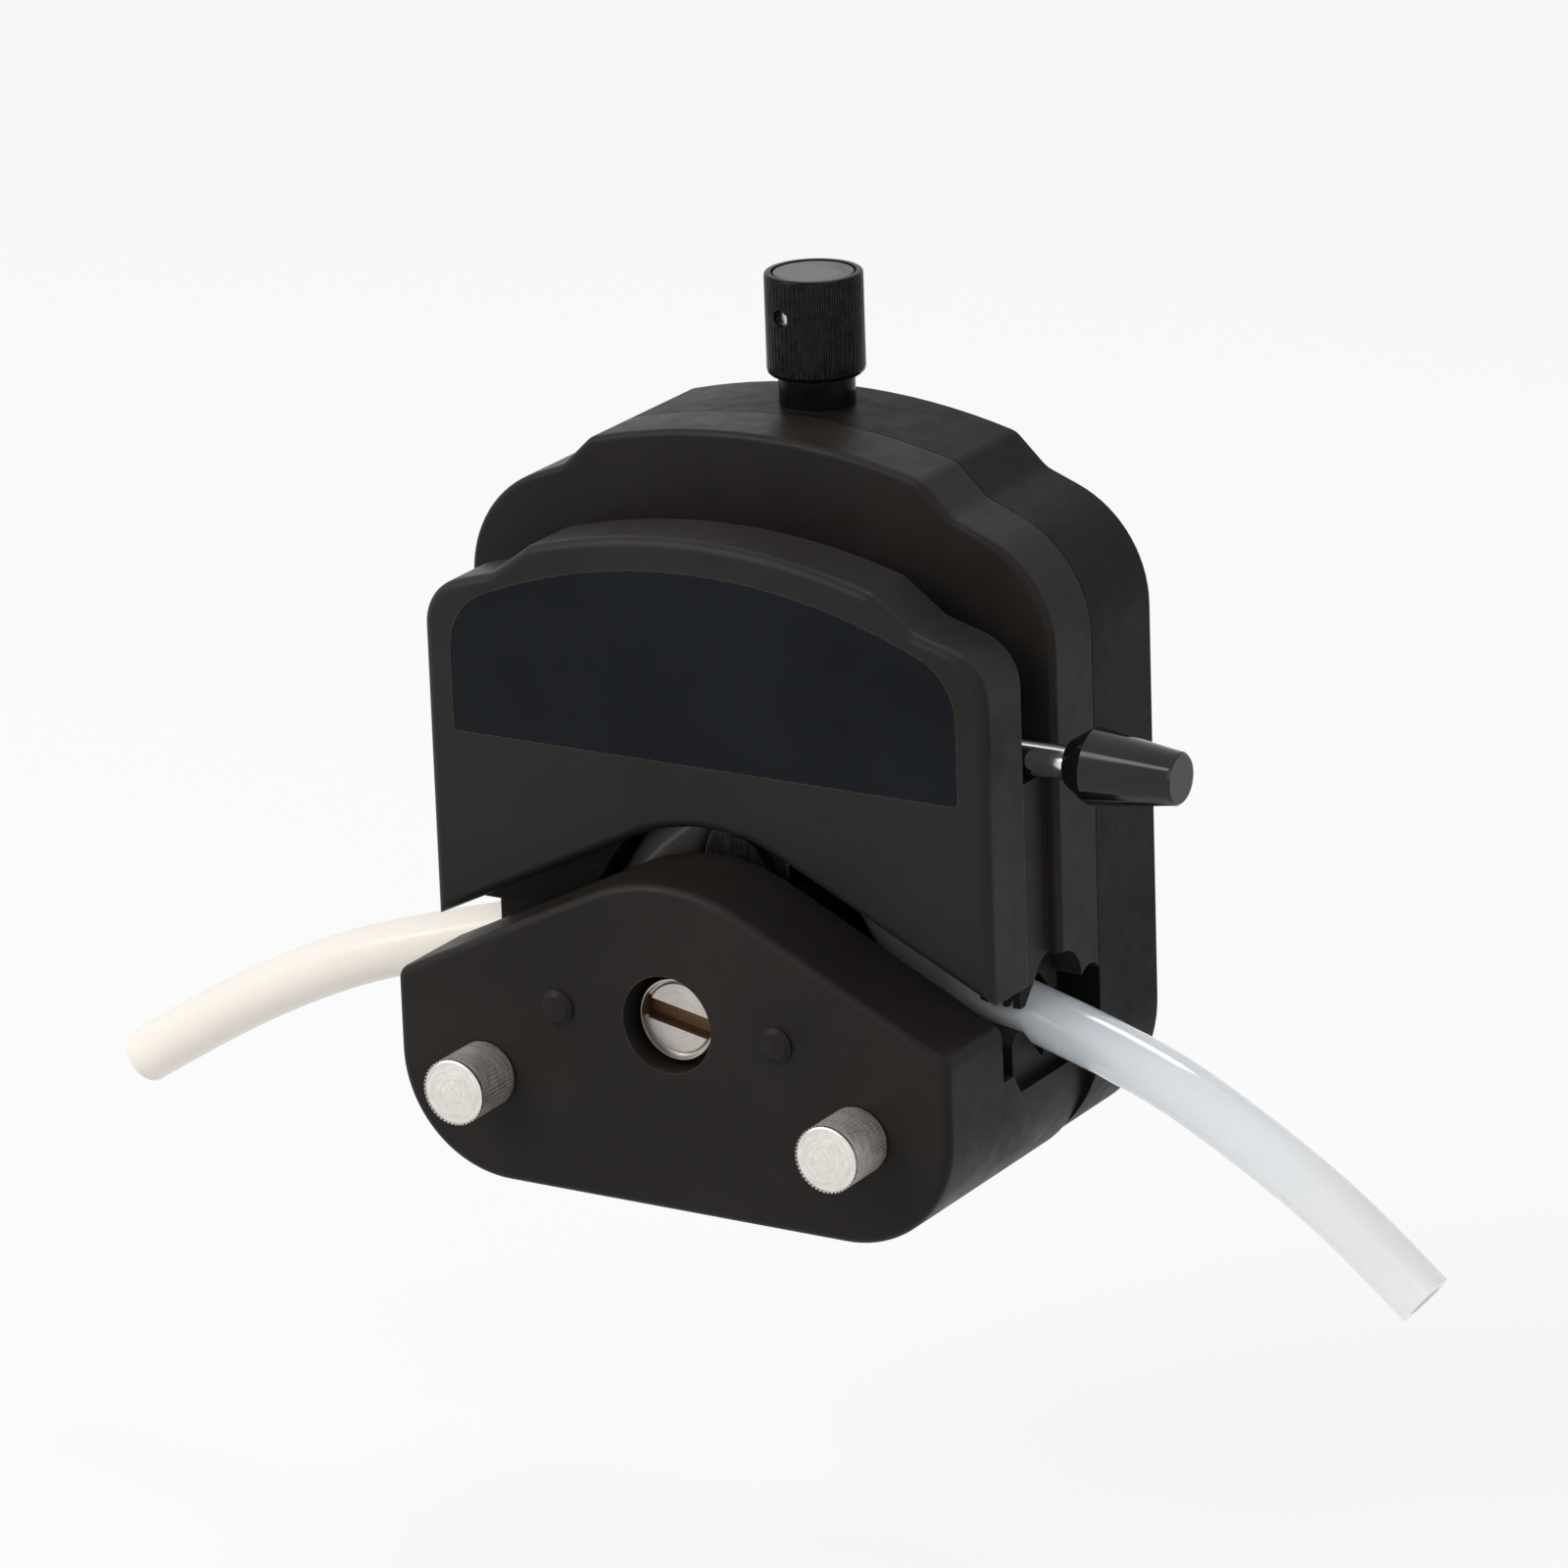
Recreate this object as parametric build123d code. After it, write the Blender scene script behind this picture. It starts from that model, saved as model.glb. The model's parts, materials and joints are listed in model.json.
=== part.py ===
"""Peristaltic pump head with an over-swinging occlusion lever, loaded with a length of tubing.

Frame: millimetres, origin on the rotor axis at the rear mounting face, +Y towards the drive that the
head bolts to, +X to the right as seen from the front, +Z up. Every profile is drawn in X and Z and
extruded along Y, so "front" is the low Y side.
"""
import os
from math import atan, cos, pi, radians, sin, tan

from build123d import *

# ---------------------------------------------------------------- driving dimensions
# Depth stations along Y, from the front face to the mounting face.
FRONT_FACE = -65.0
PLATE_FRONT = -51.4
CHAMBER_FRONT = -47.2
PLATE_BACK = -39.6
BLOCK_FRONT = -32.8
HOUSING_SPLIT = -20.0
MOUNT_FACE = 0.0
SEAM = 0.3
JAW_BACK = HOUSING_SPLIT - SEAM

# Lower housing, seen from the front: a flat-bottomed block under a shallow roof.
LOWER_HALF_WIDTH = 51.9
LOWER_BOTTOM = -32.2
LOWER_CORNER_R = 20.0
ROOF_APEX = 27.1
ROOF_SLOPE = 0.493
ROOF_RIDGE_R = 31.0
ROOF_EAVE_R = 2.5
LAND_Z = -7.5
NOTCH_TOP_Z = -2.2
NOTCH_FLOOR_Z = -11.0
NOTCH_FLOOR_FRONT = -41.6
NOTCH_INNER_X = 43.5
SADDLE_INNER_X = 44.1
SADDLE_OUTER_X = 49.7
SADDLE_FRONT = -40.2
SADDLE_TOP = -2.6
NOSE_BORE_R = 8.25

# Front plate of the jaw.
PLATE_HALF_WIDTH = 52.5
PLATE_CORNER_Z = 6.6
PLATE_VEE_APEX = 32.3
PLATE_VEE_R = 31.0
PLATE_SHOULDER = (52.5, 63.2)
PLATE_STEP_LOW = (39.4, 67.0)
PLATE_STEP_HIGH = (31.8, 72.6)
PLATE_TOP = 77.2
PLATE_KNEE_R = 8.5
STEP_LOW_R = 5.0
STEP_HIGH_R = 3.5

# Blank panel on the front plate.
LABEL_HALF_WIDTH = 47.3
LABEL_BOTTOM = 39.5
LABEL_CROWN = 71.7
LABEL_CROWN_HALF = 33.0
LABEL_CROWN_EDGE = 66.3
LABEL_KNEE_R = 11.0
LABEL_RECESS = 0.5
LABEL_GAP = 0.1

# Jaw block and rear housing share one taller outline.
BLOCK_HALF_WIDTH = 54.8
BLOCK_SHOULDER = (54.8, 73.6)
BLOCK_STEP_LOW = (36.4, 80.8)
BLOCK_STEP_HIGH = (30.9, 86.1)
BLOCK_TOP = 90.2
BLOCK_KNEE_R = 20.0
BLOCK_BOTTOM = 1.7
REAR_BOTTOM = LOWER_BOTTOM + 0.8
CUT = BLOCK_HALF_WIDTH + 5.0
REAR_CORNER_R = 24.0

# Rotor.
ORBIT_R = 20.0
ROLLER_R = 8.0
ROLLER_COUNT = 3
ROLLER_ANGLES = [90 + 360 / ROLLER_COUNT * i for i in range(ROLLER_COUNT)]
ROLLER_FRONT = -39.0
ROLLER_BACK = -22.4
ROLLER_WALL = 3.4
ROTOR_GAP = 0.3
AXLE_R = 2.5
RIVET_R = 2.0
DISC_FRONT_THICK = 2.0
DISC_REAR_THICK = 1.5
DISC_FRONT_Y = ROLLER_FRONT - ROTOR_GAP
DISC_REAR_Y = ROLLER_BACK + ROTOR_GAP
DISC_HUB_R = 12.0
DISC_LOBE_R = 4.6
CHAMBER_R = 28.7
SHAFT_R = 6.0
NOSE_R = 7.1
NOSE_INSET = 3.1
NOSE_RIM = 0.5
NOSE_GROOVE = 1.5
NOSE_BOSS_R = 6.05
NOSE_BOSS_INSET = 0.7
STUB_R = 5.0
TANG_REACH = 9.0
TANG_HALF = 2.0
HUB_SLEEVE_R = 8.6
COLLAR_R = 8.2
BEARING_R = 14.0
BEARING_WIDTH = 8.0
BEARING_RING = 2.0
SHIELD_INSET = 0.6
RETAINER_BACK = CHAMBER_FRONT + 2.0
RETAINER_EYE_R = 4.2
CLIP_THICK = 1.0
RUN_FIT = 0.05

# Tubing: outside and inside radius, and its route in the plane Y = TUBE_Y.
TUBE_R = 4.8
TUBE_BORE_R = 3.2
TUBE_Y = -30.7
TUBE_GAP = 0.3
WALL_SQUEEZE = 2.6
BED_R = ORBIT_R + ROLLER_R + WALL_SQUEEZE
BED_OUTER_R = BED_R + 4.0
BED_SPREAD = 62.0
WRAP_TILT = 60.0
EXIT_TILT = 16.0
TUBE_EXIT = (54.8, -3.1)
BEND_R = 22.0
RIGHT_ROUTE = [(54.8, -3.1), (69.5, -7.315), (84.5, -14.9), (99.5, -23.9), (109.5, -31.4), (118.5, -39.0)]
LEFT_ROUTE = [(-54.8, -3.1), (-68.3, -6.971), (-83.0, -11.9), (-98.0, -18.9), (-113.0, -27.3),
              (-128.0, -36.9)]

# Lever, cam and the yoke that the cam works in.
LEVER_Z = 44.2
LEVER_Y = (PLATE_BACK + BLOCK_FRONT) / 2
ROD_R = 3.0
ROD_THREAD_R = 2.4
HUB_R = 8.5
GRIP_START = 59.8
GRIP_END = 79.3
GRIP_BIG_R = 6.3
GRIP_SMALL_R = 4.35
GRIP_SOCKET = 6.0
CAM_SHAFT_R = 4.0
SHAFT_SOCKET = 5.5
BUSH_WALL = 2.0
CAM_PIN_R = 1.2
LIFT = 13.0
CAM_LOW = 6.0
CAM_BASE_R = LIFT / pi
BRIDGE_TOP = 40.4
YOKE_FRONT = -16.5
YOKE_BACK = -6.5
YOKE_Y = (YOKE_FRONT + YOKE_BACK) / 2
YOKE_CLEARANCE = 0.3
YOKE_WINDOW_HALF = 21.0
YOKE_POST = 4.5
YOKE_BAR_TOP = 72.5
YOKE_WINDOW_LOW = LEVER_Z - CAM_LOW - YOKE_CLEARANCE
YOKE_WINDOW_HIGH = LEVER_Z + CAM_LOW + LIFT + YOKE_CLEARANCE
POCKET_HALF = 40.5
POCKET_BOTTOM = 30.5
POCKET_TOP = 77.0
POCKET_BACK = -4.5
POCKET_CORNER_R = 5.0
COLUMN_X = 33.0
COLUMN_R = 4.0
COLUMN_LOW = POCKET_BOTTOM - 6.0
COLUMN_HIGH = POCKET_TOP + 2.0
GUIDE_BUSH_WALL = 1.2
LUG_BOTTOM = 38.0
LUG_TOP = 50.0

# Adjusting knob, and how far its screw raises the yoke.
OCCLUSION_TRAVEL = 1.2
KNOB_R = 8.1
KNOB_BOTTOM = 95.3
KNOB_TOP = 112.3
KNOB_PIN_R = 1.15
KNOB_PIN_Z = KNOB_TOP - 6.5
KNOB_PIN_TURN = -105
NECK_R = 6.3
NECK_SOCKET_R = 4.8
NECK_SOCKET = 8.0
SCREW_R = 3.0
SCREW_SOCKET = 4.0
NUT_WALL = 1.6

# Tube clamps in the jaw.
CLAMP_INNER_X = 42.0
CLAMP_OUTER_X = 49.4
CLAMP_HALF_Y = 6.0
CLAMP_BOTTOM = 1.2
CLAMP_TOP = 16.0
CLAMP_POCKET_TOP = 28.0
CLAMP_GAP = 0.3
SERRATION_WIDTH = 0.9
SPRING_WIRE = 0.8
SPRING_COIL_R = 2.6
SPRING_TURNS = 4

# Arched outlet over each tube, seen from the side.
ARCH_R = 6.2
ARCH_Y = TUBE_Y - 1.4
ARCH_TOP = 10.3
LOBE_R = 3.6
LOBE_Z = 2.0

# Front fasteners.
THUMB_X = 35.1
THUMB_Z = -13.8
THUMB_R = 5.6
THUMB_HEAD = 9.8
THUMB_SHANK_R = 2.45
THUMB_THREAD_R = 2.5
THUMB_THREAD_START = MOUNT_FACE + 0.2
THUMB_REACH = 9.0
PLUG_X = 20.6
PLUG_R = 2.9
PLUG_DOME = 1.5
PLUG_BACK = FRONT_FACE + 2.0
RETAINER_SCREW_R = 1.5
RETAINER_HEAD_DEPTH = 5.0

# Screws that join the two housings, and the jaw block to the front plate.
JOIN_X = 29.0
JOIN_Z = -24.5
JOIN_R = 1.6
JOIN_HEAD_R = 3.5
JOIN_HEAD = 4.0
JOIN_SEAT = MOUNT_FACE - 5.0
JOIN_TIP = -33.0
JOIN_SOCKET_R = 1.5
JAW_SCREW_X = 38.0
JAW_SCREW_Z = 26.0
JAW_SCREW_R = 2.0
JAW_SCREW_TIP = PLATE_BACK - 6.0
JAW_SCREW_SEAT = JAW_BACK - JOIN_HEAD - 0.3

SIDES = {"left": -1, "right": 1}


# ---------------------------------------------------------------- drawing helpers
def front_plane(y):
    """Drawing plane at depth y: local x is +X, local y is +Z, normal towards the front."""
    return Plane(origin=(0, y, 0), x_dir=(1, 0, 0), z_dir=(0, -1, 0))


def slab(sketch, y_front, y_back):
    """The sketch extruded from y_front back to y_back."""
    return extrude(front_plane(y_back) * sketch, amount=y_back - y_front)


def disc(x, z, radius, y_front, y_back):
    return slab(Pos(x, z) * Circle(radius), y_front, y_back)


def block(x0, x1, y0, y1, z0, z1):
    """Box between two corners."""
    return Pos((x0 + x1) / 2, (y0 + y1) / 2, (z0 + z1) / 2) * Box(x1 - x0, y1 - y0, z1 - z0)


def post(x, y, radius, z0, z1):
    """Upright cylinder."""
    return Pos(x, y, (z0 + z1) / 2) * Cylinder(radius, z1 - z0)


def rect(x0, x1, z0, z1):
    return Pos((x0 + x1) / 2, (z0 + z1) / 2) * Rectangle(x1 - x0, z1 - z0)


def round_corner(face, point, radius):
    """Fillet the one corner of a flat sketch nearest to the point."""
    corner = face.vertices().sort_by_distance((point[0], point[1], 0))[0]
    return fillet(corner, radius)


def turned(profile, x, z):
    """A (radius, y) profile spun about an axis along Y through (x, z)."""
    face = make_face(Polyline(*[(r, y) for r, y in profile], close=True))
    return Pos(x, 0, z) * revolve(face, Axis.Y)


def front_rim(solid, y):
    """Edges of the solid that lie wholly in the plane Y = y."""
    return solid.edges().filter_by_position(Axis.Y, y - 0.01, y + 0.01)


def roof_z(x):
    return ROOF_APEX - ROOF_SLOPE * abs(x)


def ring(x, z, outer, inner, y_front, y_back):
    """Plain sleeve with its axis along Y."""
    return disc(x, z, outer, y_front, y_back) - disc(x, z, inner, y_front, y_back)


def both_sides(make):
    """The solids that make(side) gives on the left and on the right."""
    return [make(side) for side in SIDES.values()]


# ---------------------------------------------------------------- outlines
def lower_outline():
    """Front view of the lower housing."""
    edge_z = roof_z(LOWER_HALF_WIDTH)
    face = make_face(Polyline(
        (-LOWER_HALF_WIDTH, LOWER_BOTTOM), (LOWER_HALF_WIDTH, LOWER_BOTTOM), (LOWER_HALF_WIDTH, edge_z),
        (0, ROOF_APEX), (-LOWER_HALF_WIDTH, edge_z), close=True))
    for side in SIDES.values():
        face = round_corner(face, (side * LOWER_HALF_WIDTH, LOWER_BOTTOM), LOWER_CORNER_R)
        face = round_corner(face, (side * LOWER_HALF_WIDTH, edge_z), ROOF_EAVE_R)
    return round_corner(face, (0, ROOF_APEX), ROOF_RIDGE_R)


def stepped_arch(shoulder, step_low, step_high, top, knee_r, bottom):
    """Straight sides, a knee, a sloping shoulder, a small step and a crowned top."""
    width, _ = shoulder
    right = Polyline((-width, bottom), (width, bottom), shoulder, step_low, step_high)
    crown = ThreePointArc(step_high, (0, top), (-step_high[0], step_high[1]))
    left = Polyline((-step_high[0], step_high[1]), (-step_low[0], step_low[1]), (-width, shoulder[1]),
                    (-width, bottom))
    face = make_face(right + crown + left)
    for side in SIDES.values():
        face = round_corner(face, (side * width, shoulder[1]), knee_r)
        face = round_corner(face, (side * step_low[0], step_low[1]), STEP_LOW_R)
        face = round_corner(face, (side * step_high[0], step_high[1]), STEP_HIGH_R)
    return face


def plate_outline():
    """Front plate: the stepped arch over a vee that clears the roof of the lower housing."""
    face = stepped_arch(PLATE_SHOULDER, PLATE_STEP_LOW, PLATE_STEP_HIGH, PLATE_TOP, PLATE_KNEE_R,
                        PLATE_CORNER_Z)
    vee = make_face(Polyline((-PLATE_HALF_WIDTH, PLATE_CORNER_Z), (0, PLATE_VEE_APEX),
                             (PLATE_HALF_WIDTH, PLATE_CORNER_Z), close=True))
    face = face - vee
    return round_corner(face, (0, PLATE_VEE_APEX), PLATE_VEE_R)


def block_outline(bottom):
    return stepped_arch(BLOCK_SHOULDER, BLOCK_STEP_LOW, BLOCK_STEP_HIGH, BLOCK_TOP, BLOCK_KNEE_R, bottom)


def label_outline(inset=0.0):
    """Arched panel on the front plate; a positive inset makes it smaller."""
    half = LABEL_HALF_WIDTH
    sag = LABEL_CROWN - LABEL_CROWN_EDGE
    radius = (LABEL_CROWN_HALF ** 2 + sag ** 2) / (2 * sag)
    edge_z = LABEL_CROWN - radius + (radius ** 2 - half ** 2) ** 0.5
    sides = Polyline((-half, edge_z), (-half, LABEL_BOTTOM), (half, LABEL_BOTTOM), (half, edge_z))
    face = make_face(sides + ThreePointArc((half, edge_z), (0, LABEL_CROWN), (-half, edge_z)))
    for side in SIDES.values():
        face = round_corner(face, (side * half, edge_z), LABEL_KNEE_R)
        face = round_corner(face, (side * half, LABEL_BOTTOM), 0.8)
    return offset(face, amount=-inset) if inset else face


def tube_corners(side=1):
    """Corner where the tube turns from the bed's tangent to its exit line."""
    apex_z = (BED_R - TUBE_R - TUBE_GAP) / cos(radians(WRAP_TILT))
    wrap, leave = tan(radians(WRAP_TILT)), tan(radians(EXIT_TILT))
    exit_x, exit_z = TUBE_EXIT
    x = (apex_z - exit_z - leave * exit_x) / (wrap - leave)
    return side * x, apex_z - wrap * x


def pumping_route():
    """Centre line of the tube through the head, from the left exit to the right exit."""
    exit_x, exit_z = TUBE_EXIT
    bed_line_r = BED_R - TUBE_R - TUBE_GAP
    points = [(-exit_x, exit_z), tube_corners(-1), (0, bed_line_r / cos(radians(WRAP_TILT))),
              tube_corners(1), (exit_x, exit_z)]
    return FilletPolyline(*points, radius=[BEND_R, bed_line_r, BEND_R])


def channel_region(gap):
    """Everything under the tube's route, grown by the tube's radius and a gap."""
    exit_x, exit_z = TUBE_EXIT
    reach, depth = 30.0, 60.0
    drop = tan(radians(EXIT_TILT)) * reach
    outer = Polyline((exit_x, exit_z), (exit_x + reach, exit_z - drop), (exit_x + reach, -depth),
                     (-exit_x - reach, -depth), (-exit_x - reach, exit_z - drop), (-exit_x, exit_z))
    return offset(make_face(pumping_route() + outer), amount=TUBE_R + gap)


# ---------------------------------------------------------------- fixed housing
def side_notch(side):
    """Trapezoid cut in the flank of the lower housing, under the tube."""
    inner, outer = sorted((side * NOTCH_INNER_X, side * CUT))
    front, back, high = CHAMBER_FRONT - 0.1, HOUSING_SPLIT + 1, ROOF_APEX
    flank = Plane.YZ * make_face(Polyline(
        (front, high), (front, NOTCH_TOP_Z), (NOTCH_FLOOR_FRONT, NOTCH_FLOOR_Z), (back, NOTCH_FLOOR_Z),
        (back, high), close=True))
    return Pos(inner, 0, 0) * extrude(flank, amount=outer - inner)


def front_housing():
    """Lower housing: front wall with the bearing seat, and the open rotor chamber behind it."""
    body = slab(lower_outline(), FRONT_FACE, HOUSING_SPLIT)
    body = fillet(front_rim(body, FRONT_FACE), 1.6)
    body -= disc(0, 0, CHAMBER_R, CHAMBER_FRONT, HOUSING_SPLIT)
    body -= block(-CUT, CUT, CHAMBER_FRONT, HOUSING_SPLIT, LAND_Z, ROOF_APEX + 1)
    for side in SIDES.values():
        body -= side_notch(side)
        body -= disc(side * THUMB_X, THUMB_Z, THUMB_THREAD_R + RUN_FIT, FRONT_FACE, HOUSING_SPLIT)
        body -= disc(side * PLUG_X, 0, RETAINER_SCREW_R + 0.2, FRONT_FACE, CHAMBER_FRONT)
        body -= disc(side * PLUG_X, 0, PLUG_R, FRONT_FACE, FRONT_FACE + RETAINER_HEAD_DEPTH)
        body -= disc(side * JOIN_X, JOIN_Z, JOIN_R, JOIN_TIP - 1, HOUSING_SPLIT)
    body -= disc(0, 0, NOSE_BORE_R, FRONT_FACE, CHAMBER_FRONT)
    body -= disc(0, 0, BEARING_R, CHAMBER_FRONT - BEARING_WIDTH, CHAMBER_FRONT)
    return body


def rear_housing():
    """Full-height mounting housing with the guide pocket behind the jaw."""
    outline = block_outline(REAR_BOTTOM)
    for side in SIDES.values():
        outline = round_corner(outline, (side * BLOCK_HALF_WIDTH, REAR_BOTTOM), REAR_CORNER_R)
    body = slab(outline, HOUSING_SPLIT, MOUNT_FACE)
    body = chamfer(front_rim(body, MOUNT_FACE), 0.8)
    pocket = rect(-POCKET_HALF, POCKET_HALF, POCKET_BOTTOM, POCKET_TOP)
    pocket = fillet(pocket.vertices(), POCKET_CORNER_R)
    body -= slab(pocket, HOUSING_SPLIT, POCKET_BACK)
    body -= disc(0, 0, BEARING_R, HOUSING_SPLIT, HOUSING_SPLIT + BEARING_WIDTH)
    body -= disc(0, 0, STUB_R + 2.0, HOUSING_SPLIT, MOUNT_FACE)
    body -= post(0, YOKE_Y, SCREW_R + RUN_FIT, POCKET_TOP - 1, BLOCK_TOP + 1)
    body -= post(0, YOKE_Y, NECK_SOCKET_R, BLOCK_TOP - NECK_SOCKET, BLOCK_TOP + 1)
    for side in SIDES.values():
        body -= post(side * COLUMN_X, YOKE_Y, COLUMN_R, COLUMN_LOW, COLUMN_HIGH)
        body -= disc(side * THUMB_X, THUMB_Z, THUMB_THREAD_R + RUN_FIT, HOUSING_SPLIT, MOUNT_FACE)
        body -= disc(side * JOIN_X, JOIN_Z, JOIN_R + 0.5, HOUSING_SPLIT, MOUNT_FACE)
        body -= disc(side * JOIN_X, JOIN_Z, JOIN_HEAD_R + 0.2, JOIN_SEAT, MOUNT_FACE)
    return body


def cap_screw(x, z, radius, tip, seat):
    """Socket cap screw put in from behind: shank from the tip to the seat, head behind the seat."""
    head_end = seat + JOIN_HEAD
    screw = disc(x, z, radius, tip, seat) + disc(x, z, JOIN_HEAD_R, seat, head_end)
    return screw - disc(x, z, JOIN_SOCKET_R, seat + JOIN_HEAD / 2, head_end)


def housing_screw(side):
    return cap_screw(side * JOIN_X, JOIN_Z, JOIN_R, JOIN_TIP, JOIN_SEAT)


def ball_bearing(y_front, y_back):
    """Shielded ball bearing: two rings and a recessed shield on each face."""
    inner, outer = SHAFT_R + BEARING_RING, BEARING_R - BEARING_RING
    bearing = ring(0, 0, BEARING_R, SHAFT_R, y_front, y_back)
    bearing -= ring(0, 0, outer, inner, y_front, y_front + SHIELD_INSET)
    return bearing - ring(0, 0, outer, inner, y_back - SHIELD_INSET, y_back)


def bearing_retainer():
    """Plate behind the front wall that holds the front bearing in its seat."""
    eyes = [(Pos(side * PLUG_X, 0) * Circle(RETAINER_EYE_R)).edges() for side in SIDES.values()]
    arms = make_hull([*Circle(BEARING_R + 1.5).edges(), *eyes[0], *eyes[1]])
    plate = slab(arms, CHAMBER_FRONT, RETAINER_BACK)
    plate -= disc(0, 0, SHAFT_R + BEARING_RING + 1.4, CHAMBER_FRONT, RETAINER_BACK)
    for side in SIDES.values():
        plate -= disc(side * PLUG_X, 0, RETAINER_SCREW_R, CHAMBER_FRONT, RETAINER_BACK)
    return plate


def retainer_screw(side):
    """Cap screw that pulls the bearing retainer against the front wall."""
    x, seat = side * PLUG_X, FRONT_FACE + RETAINER_HEAD_DEPTH
    head = disc(x, 0, PLUG_R - 0.15, PLUG_BACK + 0.2, seat)
    return head + disc(x, 0, RETAINER_SCREW_R, seat, RETAINER_BACK)


def dome_plug(side):
    """Black domed plug over a retainer screw."""
    rim, shoulder, crown = FRONT_FACE - 0.5, FRONT_FACE - PLUG_DOME + 0.2, FRONT_FACE - PLUG_DOME
    return turned([(0, PLUG_BACK), (PLUG_R, PLUG_BACK), (PLUG_R, rim), (PLUG_R * 0.72, shoulder),
                   (0, crown)], side * PLUG_X, 0)


def guide_column(side):
    """Ground column that the jaw and the yoke slide on."""
    return chamfer(post(side * COLUMN_X, YOKE_Y, COLUMN_R, COLUMN_LOW, COLUMN_HIGH).edges(), 0.5)


def neck_bush():
    """Flanged bush on top of the rear housing, under the knob."""
    flange_low, socket_low = BLOCK_TOP - 0.6, BLOCK_TOP - NECK_SOCKET
    crown = slab(block_outline(BLOCK_BOTTOM), HOUSING_SPLIT, MOUNT_FACE)
    bush = post(0, YOKE_Y, NECK_R, flange_low, KNOB_BOTTOM - 0.3) - crown
    bush += post(0, YOKE_Y, NECK_SOCKET_R, socket_low, BLOCK_TOP)
    return bush - post(0, YOKE_Y, SCREW_R + RUN_FIT, socket_low, KNOB_BOTTOM)


def exit_plane(side):
    """Plane across the tube where it leaves the housing: local y is up, local z outwards."""
    exit_x, exit_z = TUBE_EXIT
    tilt = radians(EXIT_TILT)
    return Plane(origin=(side * exit_x, TUBE_Y, exit_z), x_dir=(0, side, 0),
                 z_dir=(side * cos(tilt), 0, -sin(tilt)))


def tube_vee(side, gap, opens):
    """Right-angled groove along the tube, opening upwards (1) or downwards (-1)."""
    depth, half = (TUBE_R + gap) * 2 ** 0.5, 12.0
    edge = opens * (half - depth)
    groove = make_face(Polyline((0, -opens * depth), (half, edge), (-half, edge), close=True))
    return extrude(exit_plane(side) * groove, amount=-20)


def tube_saddle(side):
    """Vee block that carries the tube where it leaves the housing."""
    x0, x1 = sorted((side * SADDLE_INNER_X, side * SADDLE_OUTER_X))
    saddle = block(x0, x1, SADDLE_FRONT, HOUSING_SPLIT, NOTCH_FLOOR_Z, SADDLE_TOP)
    saddle = chamfer(saddle.edges().filter_by(Axis.X).group_by(Axis.Z)[-1], 1.2)
    return saddle - tube_vee(side, RUN_FIT, opens=1)


# ---------------------------------------------------------------- rotor
def rotor_shaft():
    """Stepped shaft: a nose with a slotted boss inside a thin rim, and a driving tang behind."""
    nose_front, nose_back = FRONT_FACE + NOSE_INSET, CHAMBER_FRONT - BEARING_WIDTH
    boss_front, rim_inner = nose_front + NOSE_BOSS_INSET, NOSE_R - NOSE_RIM
    journal_back, bevel, tang_bevel = HOUSING_SPLIT + BEARING_WIDTH + CLIP_THICK, 0.3, 0.8
    shaft = turned([(0, boss_front), (NOSE_BOSS_R - bevel, boss_front), (NOSE_BOSS_R, boss_front + bevel),
                    (NOSE_BOSS_R, nose_front + NOSE_GROOVE), (rim_inner, nose_front + NOSE_GROOVE),
                    (rim_inner, nose_front), (NOSE_R - bevel, nose_front), (NOSE_R, nose_front + bevel),
                    (NOSE_R, nose_back), (SHAFT_R, nose_back), (SHAFT_R, journal_back),
                    (STUB_R, journal_back), (STUB_R, TANG_REACH - tang_bevel),
                    (STUB_R - tang_bevel, TANG_REACH), (0, TANG_REACH)], 0, 0)
    slot_width, slot_depth, slot_turn = 3.6, 2.8, 11
    slot = Pos(0, boss_front + slot_depth / 2, 0) * Rot(0, slot_turn, 0) * Box(
        2 * NOSE_R, slot_depth, slot_width)
    shaft -= slot & disc(0, 0, rim_inner, boss_front, boss_front + slot_depth)
    for side in SIDES.values():
        low, high = sorted((side * TANG_HALF, side * 2 * STUB_R))
        shaft -= block(-2 * STUB_R, 2 * STUB_R, MOUNT_FACE + 2, TANG_REACH + 1, low, high)
    return shaft


def shaft_clip():
    """Retaining clip behind the rear bearing."""
    start = HOUSING_SPLIT + BEARING_WIDTH
    clip = ring(0, 0, STUB_R + 1.7, SHAFT_R, start, start + CLIP_THICK)
    return clip - block(-1.5, 1.5, start - 1, start + CLIP_THICK + 1, 0, 2 * SHAFT_R)


def rotor_disc(y_front, y_back):
    """Three-lobed plate that carries the roller axles."""
    lobes = [(Rot(0, 0, angle) * Pos(ORBIT_R, 0) * Circle(DISC_LOBE_R)).edges() for angle in ROLLER_ANGLES]
    outline = make_hull([*Circle(DISC_HUB_R).edges(), *[e for lobe in lobes for e in lobe]])
    plate = slab(outline, y_front, y_back) - disc(0, 0, SHAFT_R, y_front, y_back)
    for angle in ROLLER_ANGLES:
        x, z = orbit_point(angle)
        plate -= disc(x, z, RIVET_R, y_front, y_back)
    return plate


def orbit_point(angle):
    return ORBIT_R * cos(radians(angle)), ORBIT_R * sin(radians(angle))


def rotor_hub():
    """Sleeve between the two rotor plates."""
    return ring(0, 0, HUB_SLEEVE_R, SHAFT_R, DISC_FRONT_Y, DISC_REAR_Y)


def rotor_collar():
    """Spacer sleeve between the front bearing and the front rotor plate."""
    return ring(0, 0, COLLAR_R, SHAFT_R, CHAMBER_FRONT, DISC_FRONT_Y - DISC_FRONT_THICK)


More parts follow.
